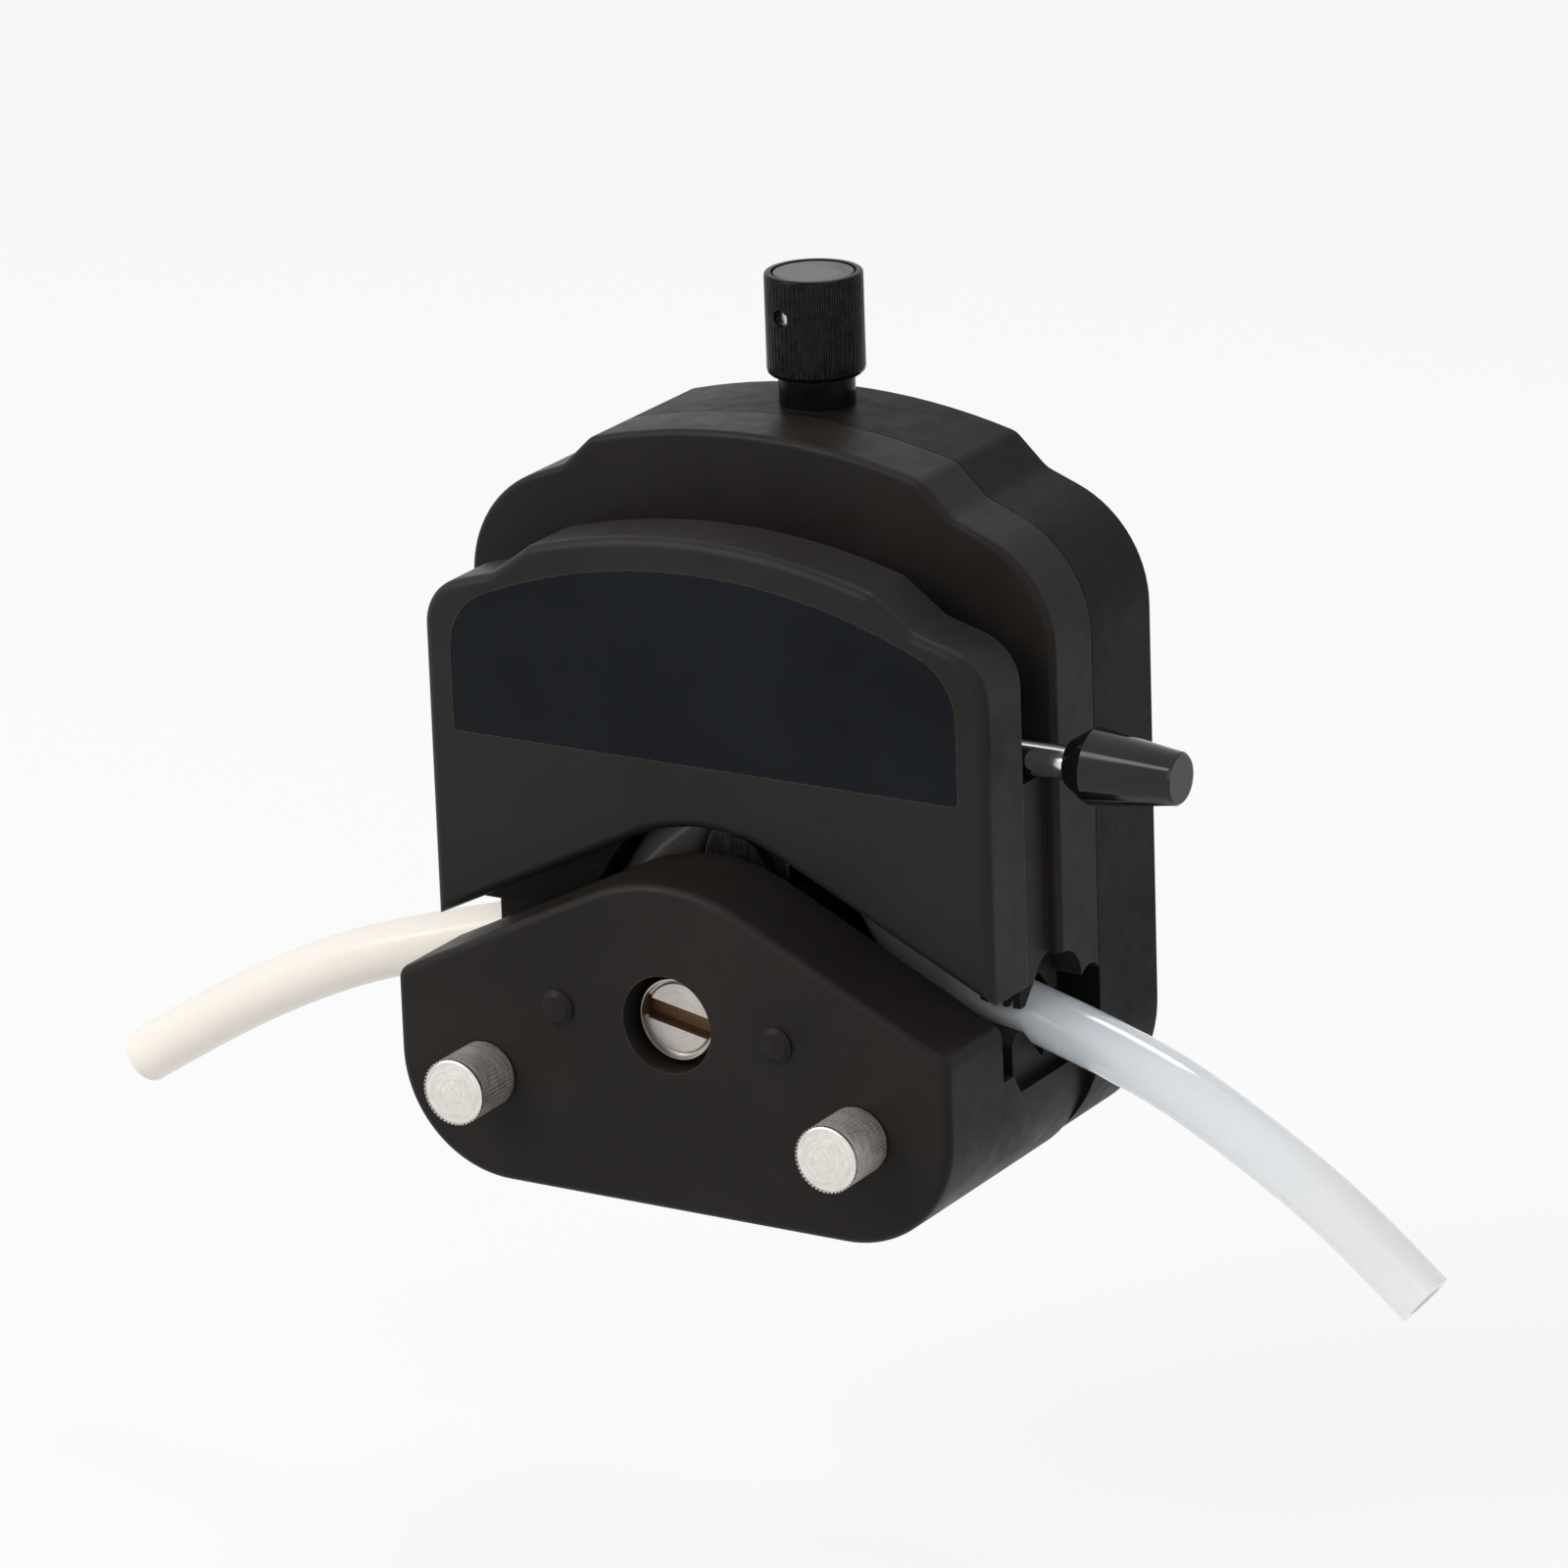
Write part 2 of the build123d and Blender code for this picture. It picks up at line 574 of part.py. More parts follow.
def axle(angle):
    """Shouldered axle riveted into both rotor plates."""
    x, z = orbit_point(angle)
    rivet_front, rivet_back = DISC_FRONT_Y - DISC_FRONT_THICK - 0.6, DISC_REAR_Y + DISC_REAR_THICK
    pin = disc(x, z, AXLE_R, DISC_FRONT_Y, DISC_REAR_Y)
    pin += disc(x, z, RIVET_R, rivet_front, DISC_FRONT_Y)
    return pin + disc(x, z, RIVET_R, DISC_REAR_Y, rivet_back)


def roller(angle):
    """Stainless squeezing roller with rounded ends."""
    x, z = orbit_point(angle)
    shell = fillet(disc(x, z, ROLLER_R, ROLLER_FRONT, ROLLER_BACK).edges(), 0.8)
    return shell - disc(x, z, ROLLER_R - ROLLER_WALL, ROLLER_FRONT, ROLLER_BACK)


def roller_bushes(angle):
    """Pair of plain bushes pressed into a roller."""
    x, z = orbit_point(angle)
    length = 5.0
    return [ring(x, z, ROLLER_R - ROLLER_WALL, AXLE_R + RUN_FIT, start, start + length)
            for start in (ROLLER_FRONT, ROLLER_BACK - length)]


# ---------------------------------------------------------------- jaw
def front_plate():
    """Front plate of the jaw, with the recess for the blank panel."""
    plate = slab(plate_outline(), PLATE_FRONT, PLATE_BACK)
    plate = fillet(front_rim(plate, PLATE_FRONT), 1.8)
    plate -= slab(label_outline(), PLATE_FRONT, PLATE_FRONT + LABEL_RECESS)
    for side in SIDES.values():
        plate -= disc(side * JAW_SCREW_X, JAW_SCREW_Z, JAW_SCREW_R, JAW_SCREW_TIP - 0.5, PLATE_BACK)
    return plate - disc(0, LEVER_Z, CAM_SHAFT_R + RUN_FIT, PLATE_BACK - SHAFT_SOCKET, PLATE_BACK)


def label_panel():
    """Blank panel set flush into the front plate."""
    return slab(label_outline(LABEL_GAP), PLATE_FRONT + LABEL_GAP, PLATE_FRONT + LABEL_RECESS)


def outlet_tunnel(side):
    """Arch over the tube with a small lobe behind it, cut through the flank of the jaw block."""
    arch = Pos(ARCH_Y, ARCH_TOP - ARCH_R) * Circle(ARCH_R)
    arch += Pos(ARCH_Y, 0) * Rectangle(2 * ARCH_R, 2 * (ARCH_TOP - ARCH_R))
    lobe = Pos(JAW_BACK - 3, LOBE_Z) * Circle(LOBE_R)
    tunnel = extrude(Plane.YZ * (arch + lobe), amount=side * 20)
    return Pos(side * (CLAMP_OUTER_X - 1), 0, 0) * tunnel


def guide_lug(side):
    """Arm from the jaw block back into the housing pocket, round a guide column."""
    x0, x1 = sorted((side * (COLUMN_X - 5.5), side * (COLUMN_X + 6.5)))
    return block(x0, x1, JAW_BACK - 1, POCKET_BACK - 1.1, LUG_BOTTOM, LUG_TOP)


def clamp_pocket(side):
    """Shaft in the jaw block that a tube clamp slides in."""
    x0, x1 = sorted((side * (CLAMP_INNER_X - CLAMP_GAP), side * (CLAMP_OUTER_X + CLAMP_GAP)))
    half = CLAMP_HALF_Y + CLAMP_GAP
    return block(x0, x1, TUBE_Y - half, TUBE_Y + half, 0, CLAMP_POCKET_TOP)


def jaw_block():
    """Main block of the jaw: bridge to the front plate, bed seat, clamp pockets and guide lugs."""
    body = slab(block_outline(BLOCK_BOTTOM), BLOCK_FRONT, JAW_BACK)
    body = fillet(front_rim(body, BLOCK_FRONT), 1.2)
    bridge = rect(-PLATE_HALF_WIDTH, PLATE_HALF_WIDTH, PLATE_CORNER_Z, BRIDGE_TOP)
    body += slab(bridge, PLATE_BACK, BLOCK_FRONT + 2)
    body -= disc(0, LEVER_Z, HUB_R + 0.5, PLATE_BACK, BLOCK_FRONT)
    body -= slab(channel_region(TUBE_GAP), PLATE_BACK, JAW_BACK)
    body -= slab(bed_sector(BED_OUTER_R), PLATE_BACK, JAW_BACK)
    for side in SIDES.values():
        body += guide_lug(side)
        body -= post(side * COLUMN_X, YOKE_Y, COLUMN_R + GUIDE_BUSH_WALL, LUG_BOTTOM, LUG_TOP)
        body -= clamp_pocket(side)
        body -= outlet_tunnel(side)
        body -= disc(side * JAW_SCREW_X, JAW_SCREW_Z, JAW_SCREW_R, PLATE_BACK, JAW_BACK)
        body -= disc(side * JAW_SCREW_X, JAW_SCREW_Z, JOIN_HEAD_R, JAW_SCREW_SEAT, JAW_BACK)
    return body - disc(0, LEVER_Z, CAM_SHAFT_R + BUSH_WALL, BLOCK_FRONT, JAW_BACK)


def bed_sector(radius):
    """Sector of a circle over the rotor where the bed liner sits."""
    reach = 3 * radius
    side_x, side_z = reach * sin(radians(BED_SPREAD)), reach * cos(radians(BED_SPREAD))
    wedge = make_face(Polyline((0, 0), (-side_x, side_z), (0, 2 * reach), (side_x, side_z), close=True))
    return Circle(radius) & wedge


def bed_liner():
    """Hardened liner that the rollers squeeze the tube against."""
    liner = bed_sector(BED_OUTER_R) - Circle(BED_R)
    return slab(liner, PLATE_BACK, JAW_BACK - 0.3)


def jaw_screw(side):
    """Cap screw from the back of the jaw block through the bridge into the front plate."""
    return cap_screw(side * JAW_SCREW_X, JAW_SCREW_Z, JAW_SCREW_R, JAW_SCREW_TIP, JAW_SCREW_SEAT)


def guide_bush(side):
    """Plain bush in a guide lug."""
    outer = post(side * COLUMN_X, YOKE_Y, COLUMN_R + GUIDE_BUSH_WALL, LUG_BOTTOM, LUG_TOP)
    return outer - post(side * COLUMN_X, YOKE_Y, COLUMN_R + RUN_FIT, LUG_BOTTOM, LUG_TOP)


def cam_bush():
    """Plain bush that carries the cam shaft in the jaw block."""
    return ring(0, LEVER_Z, CAM_SHAFT_R + BUSH_WALL, CAM_SHAFT_R + RUN_FIT, BLOCK_FRONT, JAW_BACK)


# ---------------------------------------------------------------- lever and cam
def cam_shaft():
    """Shaft from the front plate through the jaw block to the cam."""
    shaft = disc(0, LEVER_Z, CAM_SHAFT_R, PLATE_BACK - SHAFT_SOCKET + 0.3, YOKE_BACK)
    return chamfer(shaft.edges(), 0.4) - cam_cross_hole()


def cam_cross_hole():
    """Hole for the pin that locks the cam to its shaft."""
    return post(0, YOKE_Y, CAM_PIN_R, LEVER_Z - CAM_LOW, LEVER_Z + 2 * CAM_LOW)


def cam_pin():
    """Dowel through cam and shaft, its ends below the surface of the cam."""
    return post(0, YOKE_Y, CAM_PIN_R, LEVER_Z - CAM_LOW + 0.6, LEVER_Z + 2 * CAM_LOW)


def cam_outline():
    """Heart cam of constant breadth, so that it fills the yoke's window at every turn.

    A flat follower touches a cam where the cam's support distance is taken. That distance grows evenly,
    CAM_LOW + CAM_BASE_R * turn, so each flank is the involute of a circle of radius CAM_BASE_R.
    """
    def flank(turn):
        reach = CAM_LOW + CAM_BASE_R * turn
        return (reach * sin(turn) + CAM_BASE_R * cos(turn), -reach * cos(turn) + CAM_BASE_R * sin(turn))

    # The two flanks meet on the centre line at the turn where x is nought, found by repeated substitution.
    nose_turn = pi
    for _ in range(20):
        nose_turn = pi - atan(CAM_BASE_R / (CAM_LOW + CAM_BASE_R * nose_turn))
    steps = 7
    half = [flank(nose_turn * i / steps) for i in range(steps)]
    nose = (0, flank(nose_turn)[1])
    right = Spline(*half, nose)
    left = Spline(*[(-x, z) for x, z in half], nose)
    return make_face(right + left + Line(right @ 0, left @ 0))


def lift_cam():
    cam = slab(Pos(0, LEVER_Z) * cam_outline(), YOKE_FRONT + 0.3, YOKE_BACK - 0.3)
    return cam - disc(0, LEVER_Z, CAM_SHAFT_R, YOKE_FRONT, YOKE_BACK) - cam_cross_hole()


def lever_hub():
    """Round hub on the cam shaft that the rod screws into."""
    hub = chamfer(disc(0, LEVER_Z, HUB_R, PLATE_BACK + 0.3, BLOCK_FRONT - 0.3).edges(), 0.5)
    hub -= disc(0, LEVER_Z, CAM_SHAFT_R, PLATE_BACK, BLOCK_FRONT)
    return hub - lever_bar(0, HUB_R + 1, ROD_THREAD_R)


def lever_bar(x0, x1, radius):
    return Pos(x0, LEVER_Y, LEVER_Z) * Rot(0, 90, 0) * Cylinder(
        radius, x1 - x0, align=(Align.CENTER, Align.CENTER, Align.MIN))


def lever_rod():
    """Polished rod, necked down where it screws into the hub."""
    thread = lever_bar(CAM_SHAFT_R + 0.3, HUB_R, ROD_THREAD_R)
    return thread + lever_bar(HUB_R, GRIP_START + GRIP_SOCKET, ROD_R)


def lever_grip():
    """Tapered grip with a bevelled big end."""
    collar_r, bevel_end, edge = 3.9, GRIP_START + 3.2, 0.4
    profile = make_face(Polyline(
        (0, GRIP_START), (collar_r, GRIP_START), (GRIP_BIG_R - edge, bevel_end), (GRIP_BIG_R, bevel_end + 1),
        (GRIP_SMALL_R, GRIP_END - edge), (GRIP_SMALL_R - edge, GRIP_END), (0, GRIP_END), close=True))
    cone = Pos(0, LEVER_Y, LEVER_Z) * Rot(0, 0, -90) * revolve(profile, Axis.Y)
    return cone - lever_bar(GRIP_START - 1, GRIP_START + GRIP_SOCKET, ROD_R)


# ---------------------------------------------------------------- yoke and knob
def yoke():
    """Frame round the cam, hung from the adjusting screw and guided on the columns."""
    low, high = YOKE_WINDOW_LOW, YOKE_WINDOW_HIGH
    outer = YOKE_WINDOW_HALF + YOKE_POST
    frame = rect(-outer, outer, POCKET_BOTTOM + 1.0, high + 1)
    frame += fillet(rect(-POCKET_HALF + 1, POCKET_HALF - 1, high, YOKE_BAR_TOP).vertices(), 1.5)
    frame -= fillet(rect(-YOKE_WINDOW_HALF, YOKE_WINDOW_HALF, low, high).vertices(), 2)
    body = slab(frame, YOKE_FRONT, YOKE_BACK)
    for side in SIDES.values():
        body -= post(side * COLUMN_X, YOKE_Y, COLUMN_R + RUN_FIT, high - 1, YOKE_BAR_TOP + 1)
    return body - post(0, YOKE_Y, SCREW_R + NUT_WALL, high - 1, YOKE_BAR_TOP + 1)


def yoke_nut():
    """Threaded insert in the yoke's top bar."""
    nut = post(0, YOKE_Y, SCREW_R + NUT_WALL, YOKE_WINDOW_HIGH, YOKE_BAR_TOP)
    return nut - post(0, YOKE_Y, SCREW_R + RUN_FIT, YOKE_WINDOW_HIGH, YOKE_BAR_TOP)


def adjusting_screw():
    """Screw from the knob down into the yoke nut, held up by its collar."""
    tip = YOKE_WINDOW_HIGH + OCCLUSION_TRAVEL + YOKE_CLEARANCE
    screw = post(0, YOKE_Y, SCREW_R, tip, KNOB_TOP - SCREW_SOCKET)
    screw += post(0, YOKE_Y, SCREW_R + 2, POCKET_TOP - 1.7, POCKET_TOP - 0.3)
    return screw - cross_hole()


def knob():
    """Turned knob with bevelled ends and a cross hole for its pin."""
    profile = make_face(Polyline(
        (0, KNOB_BOTTOM), (KNOB_R - 1.1, KNOB_BOTTOM), (KNOB_R, KNOB_BOTTOM + 1.0), (KNOB_R, KNOB_TOP - 1.2),
        (KNOB_R - 1.5, KNOB_TOP), (0, KNOB_TOP), close=True))
    body = Pos(0, YOKE_Y, 0) * revolve(Plane.XZ * profile, Axis.Z)
    return body - post(0, YOKE_Y, SCREW_R, KNOB_BOTTOM, KNOB_TOP - SCREW_SOCKET) - cross_hole()


def cross_hole():
    """Hole for the pin through knob and screw."""
    return Pos(0, YOKE_Y, KNOB_PIN_Z) * Rot(0, 0, KNOB_PIN_TURN) * Rot(0, 90, 0) * Cylinder(
        KNOB_PIN_R, 3 * KNOB_R)


def knob_pin():
    """Pin through knob and screw, its ends below the knurl."""
    return cross_hole() & post(0, YOKE_Y, KNOB_R - 1.2, KNOB_BOTTOM, KNOB_TOP)


# ---------------------------------------------------------------- clamps and thumbscrews
def tube_clamp(side):
    """Sliding clamp with an inverted serrated vee over the tube."""
    x0, x1 = sorted((side * CLAMP_INNER_X, side * CLAMP_OUTER_X))
    y0, y1 = TUBE_Y - CLAMP_HALF_Y, TUBE_Y + CLAMP_HALF_Y
    clamp = block(x0, x1, y0, y1, CLAMP_BOTTOM, CLAMP_TOP) - tube_vee(side, TUBE_GAP, opens=-1)
    for share in (0.25, 0.5, 0.75):
        x = side * (CLAMP_INNER_X + share * (CLAMP_OUTER_X - CLAMP_INNER_X))
        half = SERRATION_WIDTH / 2
        clamp -= block(x - half, x + half, y0, y1, CLAMP_BOTTOM, CLAMP_BOTTOM + 1.4)
    return clamp


def clamp_spring(side):
    """Flat-wire coil spring over a clamp."""
    x = side * (CLAMP_INNER_X + CLAMP_OUTER_X) / 2
    height = CLAMP_POCKET_TOP - CLAMP_TOP - 1.5 * SPRING_WIRE
    helix = Helix(pitch=height / SPRING_TURNS, height=height, radius=SPRING_COIL_R)
    section = Plane(origin=helix @ 0, x_dir=(1, 0, 0), z_dir=helix % 0) * Rectangle(SPRING_WIRE, SPRING_WIRE)
    return Pos(x, TUBE_Y, CLAMP_TOP + 0.75 * SPRING_WIRE) * sweep(section, path=helix)


def thumbscrew(side):
    """Captive fixing screw: knurled head, long shank, thread standing out behind."""
    head_back = FRONT_FACE - 0.3
    head = disc(0, 0, THUMB_R, head_back - THUMB_HEAD, head_back)
    head = chamfer(head.edges(), 0.6)
    screw = head + disc(0, 0, THUMB_SHANK_R, head_back - 1, THUMB_THREAD_START)
    screw += disc(0, 0, THUMB_THREAD_R, THUMB_THREAD_START, THUMB_REACH)
    screw = chamfer(front_rim(screw, THUMB_REACH), 0.6)
    return Pos(side * THUMB_X, 0, THUMB_Z) * screw


# ---------------------------------------------------------------- tubing
def pumping_tube():
    """Tube through the head, pressed in under the roller at the top; a plain solid."""
    exit_x, exit_z = TUBE_EXIT
    route = front_plane(TUBE_Y) * pumping_route()
    section = Plane(origin=(-exit_x, TUBE_Y, exit_z), z_dir=route % 0) * Circle(TUBE_R)
    tube = sweep(section, path=route)
    x, z = orbit_point(ROLLER_ANGLES[0])
    dent = disc(x, z, ROLLER_R + 0.05, ROLLER_FRONT, ROLLER_BACK)
    return tube - dent


def free_tube(route):
    """Free end of the tube along its route, hollow and cut square."""
    points = [Vector(x, TUBE_Y, z) for x, z in route]
    runs = [b - a for a, b in zip(points, points[1:])]
    radii = []
    for run, after in zip(runs, runs[1:]):
        turn = radians(run.get_angle(after))
        radii.append(0.45 * min(run.length, after.length) / tan(turn / 2))
    print("bend radii", [round(r, 1) for r in radii], "in diameters",
          [round(r / (2 * TUBE_R), 1) for r in radii])
    path = FilletPolyline(*points, radius=radii)
    section = Plane(origin=points[0], z_dir=runs[0]) * (Circle(TUBE_R) - Circle(TUBE_BORE_R))
    tube = sweep(section, path=path)
    expected = pi * (TUBE_R ** 2 - TUBE_BORE_R ** 2) * path.length
    print("free length", round(path.length, 2), "volume ratio", round(tube.volume / expected, 4))
    return tube


# ---------------------------------------------------------------- assembly
def parts():
    """Every node's name and solids."""
    nodes = {
        "front_housing": front_housing(),
        "rear_housing": rear_housing(),
        "housing_screws": both_sides(housing_screw),
        "front_bearing": ball_bearing(CHAMBER_FRONT - BEARING_WIDTH, CHAMBER_FRONT),
        "rear_bearing": ball_bearing(HOUSING_SPLIT, HOUSING_SPLIT + BEARING_WIDTH),
        "bearing_retainer": bearing_retainer(),
        "retainer_screws": both_sides(retainer_screw),
        "neck_bush": neck_bush(),
        "rotor_shaft": rotor_shaft(),
        "shaft_clip": shaft_clip(),
        "rotor_disc_front": rotor_disc(DISC_FRONT_Y - DISC_FRONT_THICK, DISC_FRONT_Y),
        "rotor_disc_rear": rotor_disc(DISC_REAR_Y, DISC_REAR_Y + DISC_REAR_THICK),
        "rotor_hub": rotor_hub(),
        "rotor_collar": rotor_collar(),
        "roller_axles": [axle(angle) for angle in ROLLER_ANGLES],
        "front_plate": front_plate(),
        "label_panel": label_panel(),
        "jaw_block": jaw_block(),
        "bed_liner": bed_liner(),
        "jaw_screws": both_sides(jaw_screw),
        "cam_bush": cam_bush(),
        "cam_shaft": cam_shaft(),
        "lift_cam": lift_cam(),
        "cam_pin": cam_pin(),
        "lever_hub": lever_hub(),
        "lever_rod": lever_rod(),
        "lever_grip": lever_grip(),
        "yoke": yoke(),
        "yoke_nut": yoke_nut(),
        "adjusting_screw": adjusting_screw(),
        "knob": knob(),
        "knob_pin": knob_pin(),
        "pumping_tube": pumping_tube(),
        "tube_right": free_tube(RIGHT_ROUTE),
        "tube_left": free_tube(LEFT_ROUTE),
    }
    for number, angle in enumerate(ROLLER_ANGLES, start=1):
        nodes[f"roller_{number}"] = roller(angle)
        nodes[f"roller_bushes_{number}"] = roller_bushes(angle)
    for name, side in SIDES.items():
        nodes[f"dome_plug_{name}"] = dome_plug(side)
        nodes[f"guide_column_{name}"] = guide_column(side)
        nodes[f"guide_bush_{name}"] = guide_bush(side)
        nodes[f"tube_saddle_{name}"] = tube_saddle(side)
        nodes[f"tube_clamp_{name}"] = tube_clamp(side)
        nodes[f"clamp_spring_{name}"] = clamp_spring(side)
        nodes[f"thumbscrew_{name}"] = thumbscrew(side)
    return nodes


def solids_of(shape):
    """One shape from a piece, whether it is a single solid or a group of them."""
    group = [s for item in shape for s in item.solids()] if isinstance(shape, list) else shape.solids()
    return group[0] if len(group) == 1 else Compound(children=list(group))


os.makedirs("parts", exist_ok=True)
for node, shape in parts().items():
    export_step(solids_of(shape), f"parts/{node}.step")
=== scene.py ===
"""Finish of a peristaltic pump head: black moulded housings, knurled knob, lever and a length of tubing.

The frame is in metres, with the rotor's axis along Y, the drive behind at +Y and the front at -Y.
"""

import json
from math import atan2, cos, hypot, pi, radians, sin

import bmesh
import bpy
from mathutils import Matrix, Vector


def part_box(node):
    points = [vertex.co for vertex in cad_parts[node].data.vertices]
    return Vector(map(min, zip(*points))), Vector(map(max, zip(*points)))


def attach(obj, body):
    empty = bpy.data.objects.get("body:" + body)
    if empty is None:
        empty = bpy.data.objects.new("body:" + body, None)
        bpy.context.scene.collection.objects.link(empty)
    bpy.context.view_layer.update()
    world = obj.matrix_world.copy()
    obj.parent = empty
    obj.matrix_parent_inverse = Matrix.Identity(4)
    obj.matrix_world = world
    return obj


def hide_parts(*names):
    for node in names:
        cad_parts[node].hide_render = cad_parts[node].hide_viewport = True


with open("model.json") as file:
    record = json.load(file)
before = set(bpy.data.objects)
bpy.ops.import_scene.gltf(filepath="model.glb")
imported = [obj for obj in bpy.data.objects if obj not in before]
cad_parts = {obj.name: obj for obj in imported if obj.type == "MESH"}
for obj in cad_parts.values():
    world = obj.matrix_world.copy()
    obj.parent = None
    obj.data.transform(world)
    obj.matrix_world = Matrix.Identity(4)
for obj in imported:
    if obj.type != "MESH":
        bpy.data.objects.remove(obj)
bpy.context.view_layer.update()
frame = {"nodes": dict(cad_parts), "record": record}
nodes = frame["nodes"]
body_of_node = {name: body for body, members in frame["record"]["behaviour"]["bodies"].items()
                for name in members}

MM = 0.001
NEAR = 0.01 * MM            # places closer than this count as one
UP = Vector((0, 0, 1))
BACK = Vector((0, 1, 0))

# camera, in degrees and metres
CAMERA_TURN = (28.77, 16.05, -1.28)     # azimuth, elevation and roll
CAMERA_MIDDLE = Vector((0, -0.065, 0))  # the place that the next three are measured from
CAMERA_DISTANCE = 1.34971
CAMERA_RIGHT, CAMERA_UP = 0.075718, 0.094758
AIM_LEFT, AIM_DOWN = 0.0421, 0.0414     # how far it looks aside, for each metre ahead

# tubing
TUBE_R = 4.8 * MM
TUBE_WALL = 1.6 * MM
TUBE_Y = -30.7 * MM
RIGHT_ROUTE = [(54.8, -3.1), (69.5, -7.315), (84.5, -14.9), (99.5, -23.9), (109.5, -31.4), (118.5, -39.0)]
LEFT_ROUTE = [(-54.8, -3.1), (-68.3, -6.971), (-83.0, -11.9), (-98.0, -18.9), (-113.0, -27.3),
              (-128.0, -36.9)]
HEAD_ROUTE_HALF = [(6.83, 25.5), (18.67, 18.67), (26.56, 5.0), (43.66, 0.1), (54.8, -3.1)]
BED_LINE_R = 25.5 * MM
PINCH_SPREAD = radians(38)  # how far to each side of the top roller the hose is pressed
PINCH_WIDENING = 0.44       # how much wider the pressed hose becomes
INSIDE_SHADE_REACH = (34 * MM, 51 * MM)   # distance from X 0 where the painted shade inside the head starts to fade, and is gone
PALER_REACH = (60 * MM, 110 * MM)   # distance from X 0 where the hose starts to pale, and is palest
# grey tint of the hose inside the head: painted shade
INSIDE_SHADE_TINT = (0.3, 0.27, 0.24)
CLOUD_SHADE = 0.86

# moulded plastic
PLASTIC_IOR = 1.33
DUST = (0.12, 0.11, 0.1)

# driver slot in the shaft's nose: the Y at which the darker brown starts, half width and turn about Y
NOSE_SLOT = (-61.0 * MM, 1.85 * MM, radians(11))
SLOT_REACH = 2.8 * MM
SLOT_BROWN = (0.145, 0.09, 0.046)

# knob
KNOB_SIDES, KNOB_FLUTES = 240, 60
KNOB_RIM = 1.1 * MM
KNOB_TOP_BEVEL, KNOB_FOOT_BEVEL = 0.45 * MM, 1.0 * MM
CAP_GROOVE, CAP_GROOVE_DEPTH, CAP_RISE = 0.45 * MM, 0.8 * MM, 0.65 * MM
CAP_MARGIN = 1.5 * MM       # from the knob's side to the cap's own finish
KNOB_PLAIN_END = 3 * MM
FLUTE_DEPTH = 0.2 * MM
CROSS_HOLE_R, CROSS_HOLE_MOUTH_R, CROSS_HOLE_MOUTH_DEPTH = 1.17 * MM, 1.55 * MM, 2.0 * MM
CROSS_HOLE_TURN = radians(-15)

# thumbscrews
SCREW_SIDES, SCREW_FLUTES = 192, 48
SCREW_HEAD, SCREW_HEAD_BEVEL = 9.8 * MM, 0.55 * MM
SCREW_PLAIN_FRONT, SCREW_PLAIN_BACK, SCREW_FLUTE_DEPTH = 2 * MM, 1 * MM, 0.1 * MM
SCREW_SHANK, SCREW_SHANK_R = 65.5 * MM, 2.45 * MM
THREAD_ROOT, THREAD_CREST, THREAD_PITCH = 2.2 * MM, 2.5 * MM, 0.8 * MM
THREAD_REACH = (8.8 * MM, 0.4 * MM)     # back from the screw's end, first and last turn
THREAD_STEPS = 40                       # rings of corners in one turn


# ---------------------------------------------------------------- camera
def looking(azimuth, elevation, roll):
    """Right, up and forward directions of a camera that looks back at the head from its front."""
    a, e, t = radians(azimuth), radians(elevation), radians(roll)
    forward = Vector((-sin(a) * cos(e), cos(a) * cos(e), -sin(e)))
    right = Vector((cos(a), sin(a), 0))
    up = right.cross(forward)
    return right * cos(t) + up * sin(t), up * cos(t) - right * sin(t), forward


def add_camera():
    right, up, forward = looking(*CAMERA_TURN)
    place = forward * -CAMERA_DISTANCE + right * CAMERA_RIGHT + up * CAMERA_UP + CAMERA_MIDDLE
    aim = (forward - right * AIM_LEFT - up * AIM_DOWN).normalized()
    side = aim.cross(up).normalized()
    top = side.cross(aim)
    data = bpy.data.cameras.new("camera")
    data.lens = 193.5
    data.sensor_width = 36.0
    data.clip_start, data.clip_end = 0.05, 30.0
    camera = bpy.data.objects.new("camera", data)
    camera.matrix_world = Matrix((
        (side.x, top.x, -aim.x, place.x),
        (side.y, top.y, -aim.y, place.y),
        (side.z, top.z, -aim.z, place.z),
        (0, 0, 0, 1)))
    bpy.context.scene.collection.objects.link(camera)
    bpy.context.scene.camera = camera


# ---------------------------------------------------------------- modelling helpers
def begin(add, **size):
    """A new primitive, alone in the selection, open for editing."""
    bpy.ops.object.select_all(action="DESELECT")
    add(**size)
    bpy.ops.object.mode_set(mode="EDIT")
    return bpy.context.active_object


def pick(kind, wanted):
    """Select the faces or edges of the open mesh that the test wants."""
    bpy.ops.mesh.select_mode(type=kind)
    bpy.ops.mesh.select_all(action="DESELECT")
    mesh = bpy.context.active_object.data
    shape = bmesh.from_edit_mesh(mesh)
    stand = bpy.context.active_object.matrix_world
    turn = stand.to_3x3()
    if kind == "FACE":
        for face in shape.faces:
            normal = (turn @ face.normal).normalized()
            face.select_set(bool(wanted(stand @ face.calc_center_median(), normal)))
    else:
        for edge in shape.edges:
            ends = [stand @ corner.co for corner in edge.verts]
            edge.select_set(bool(wanted(*ends)))
    bmesh.update_edit_mesh(mesh)


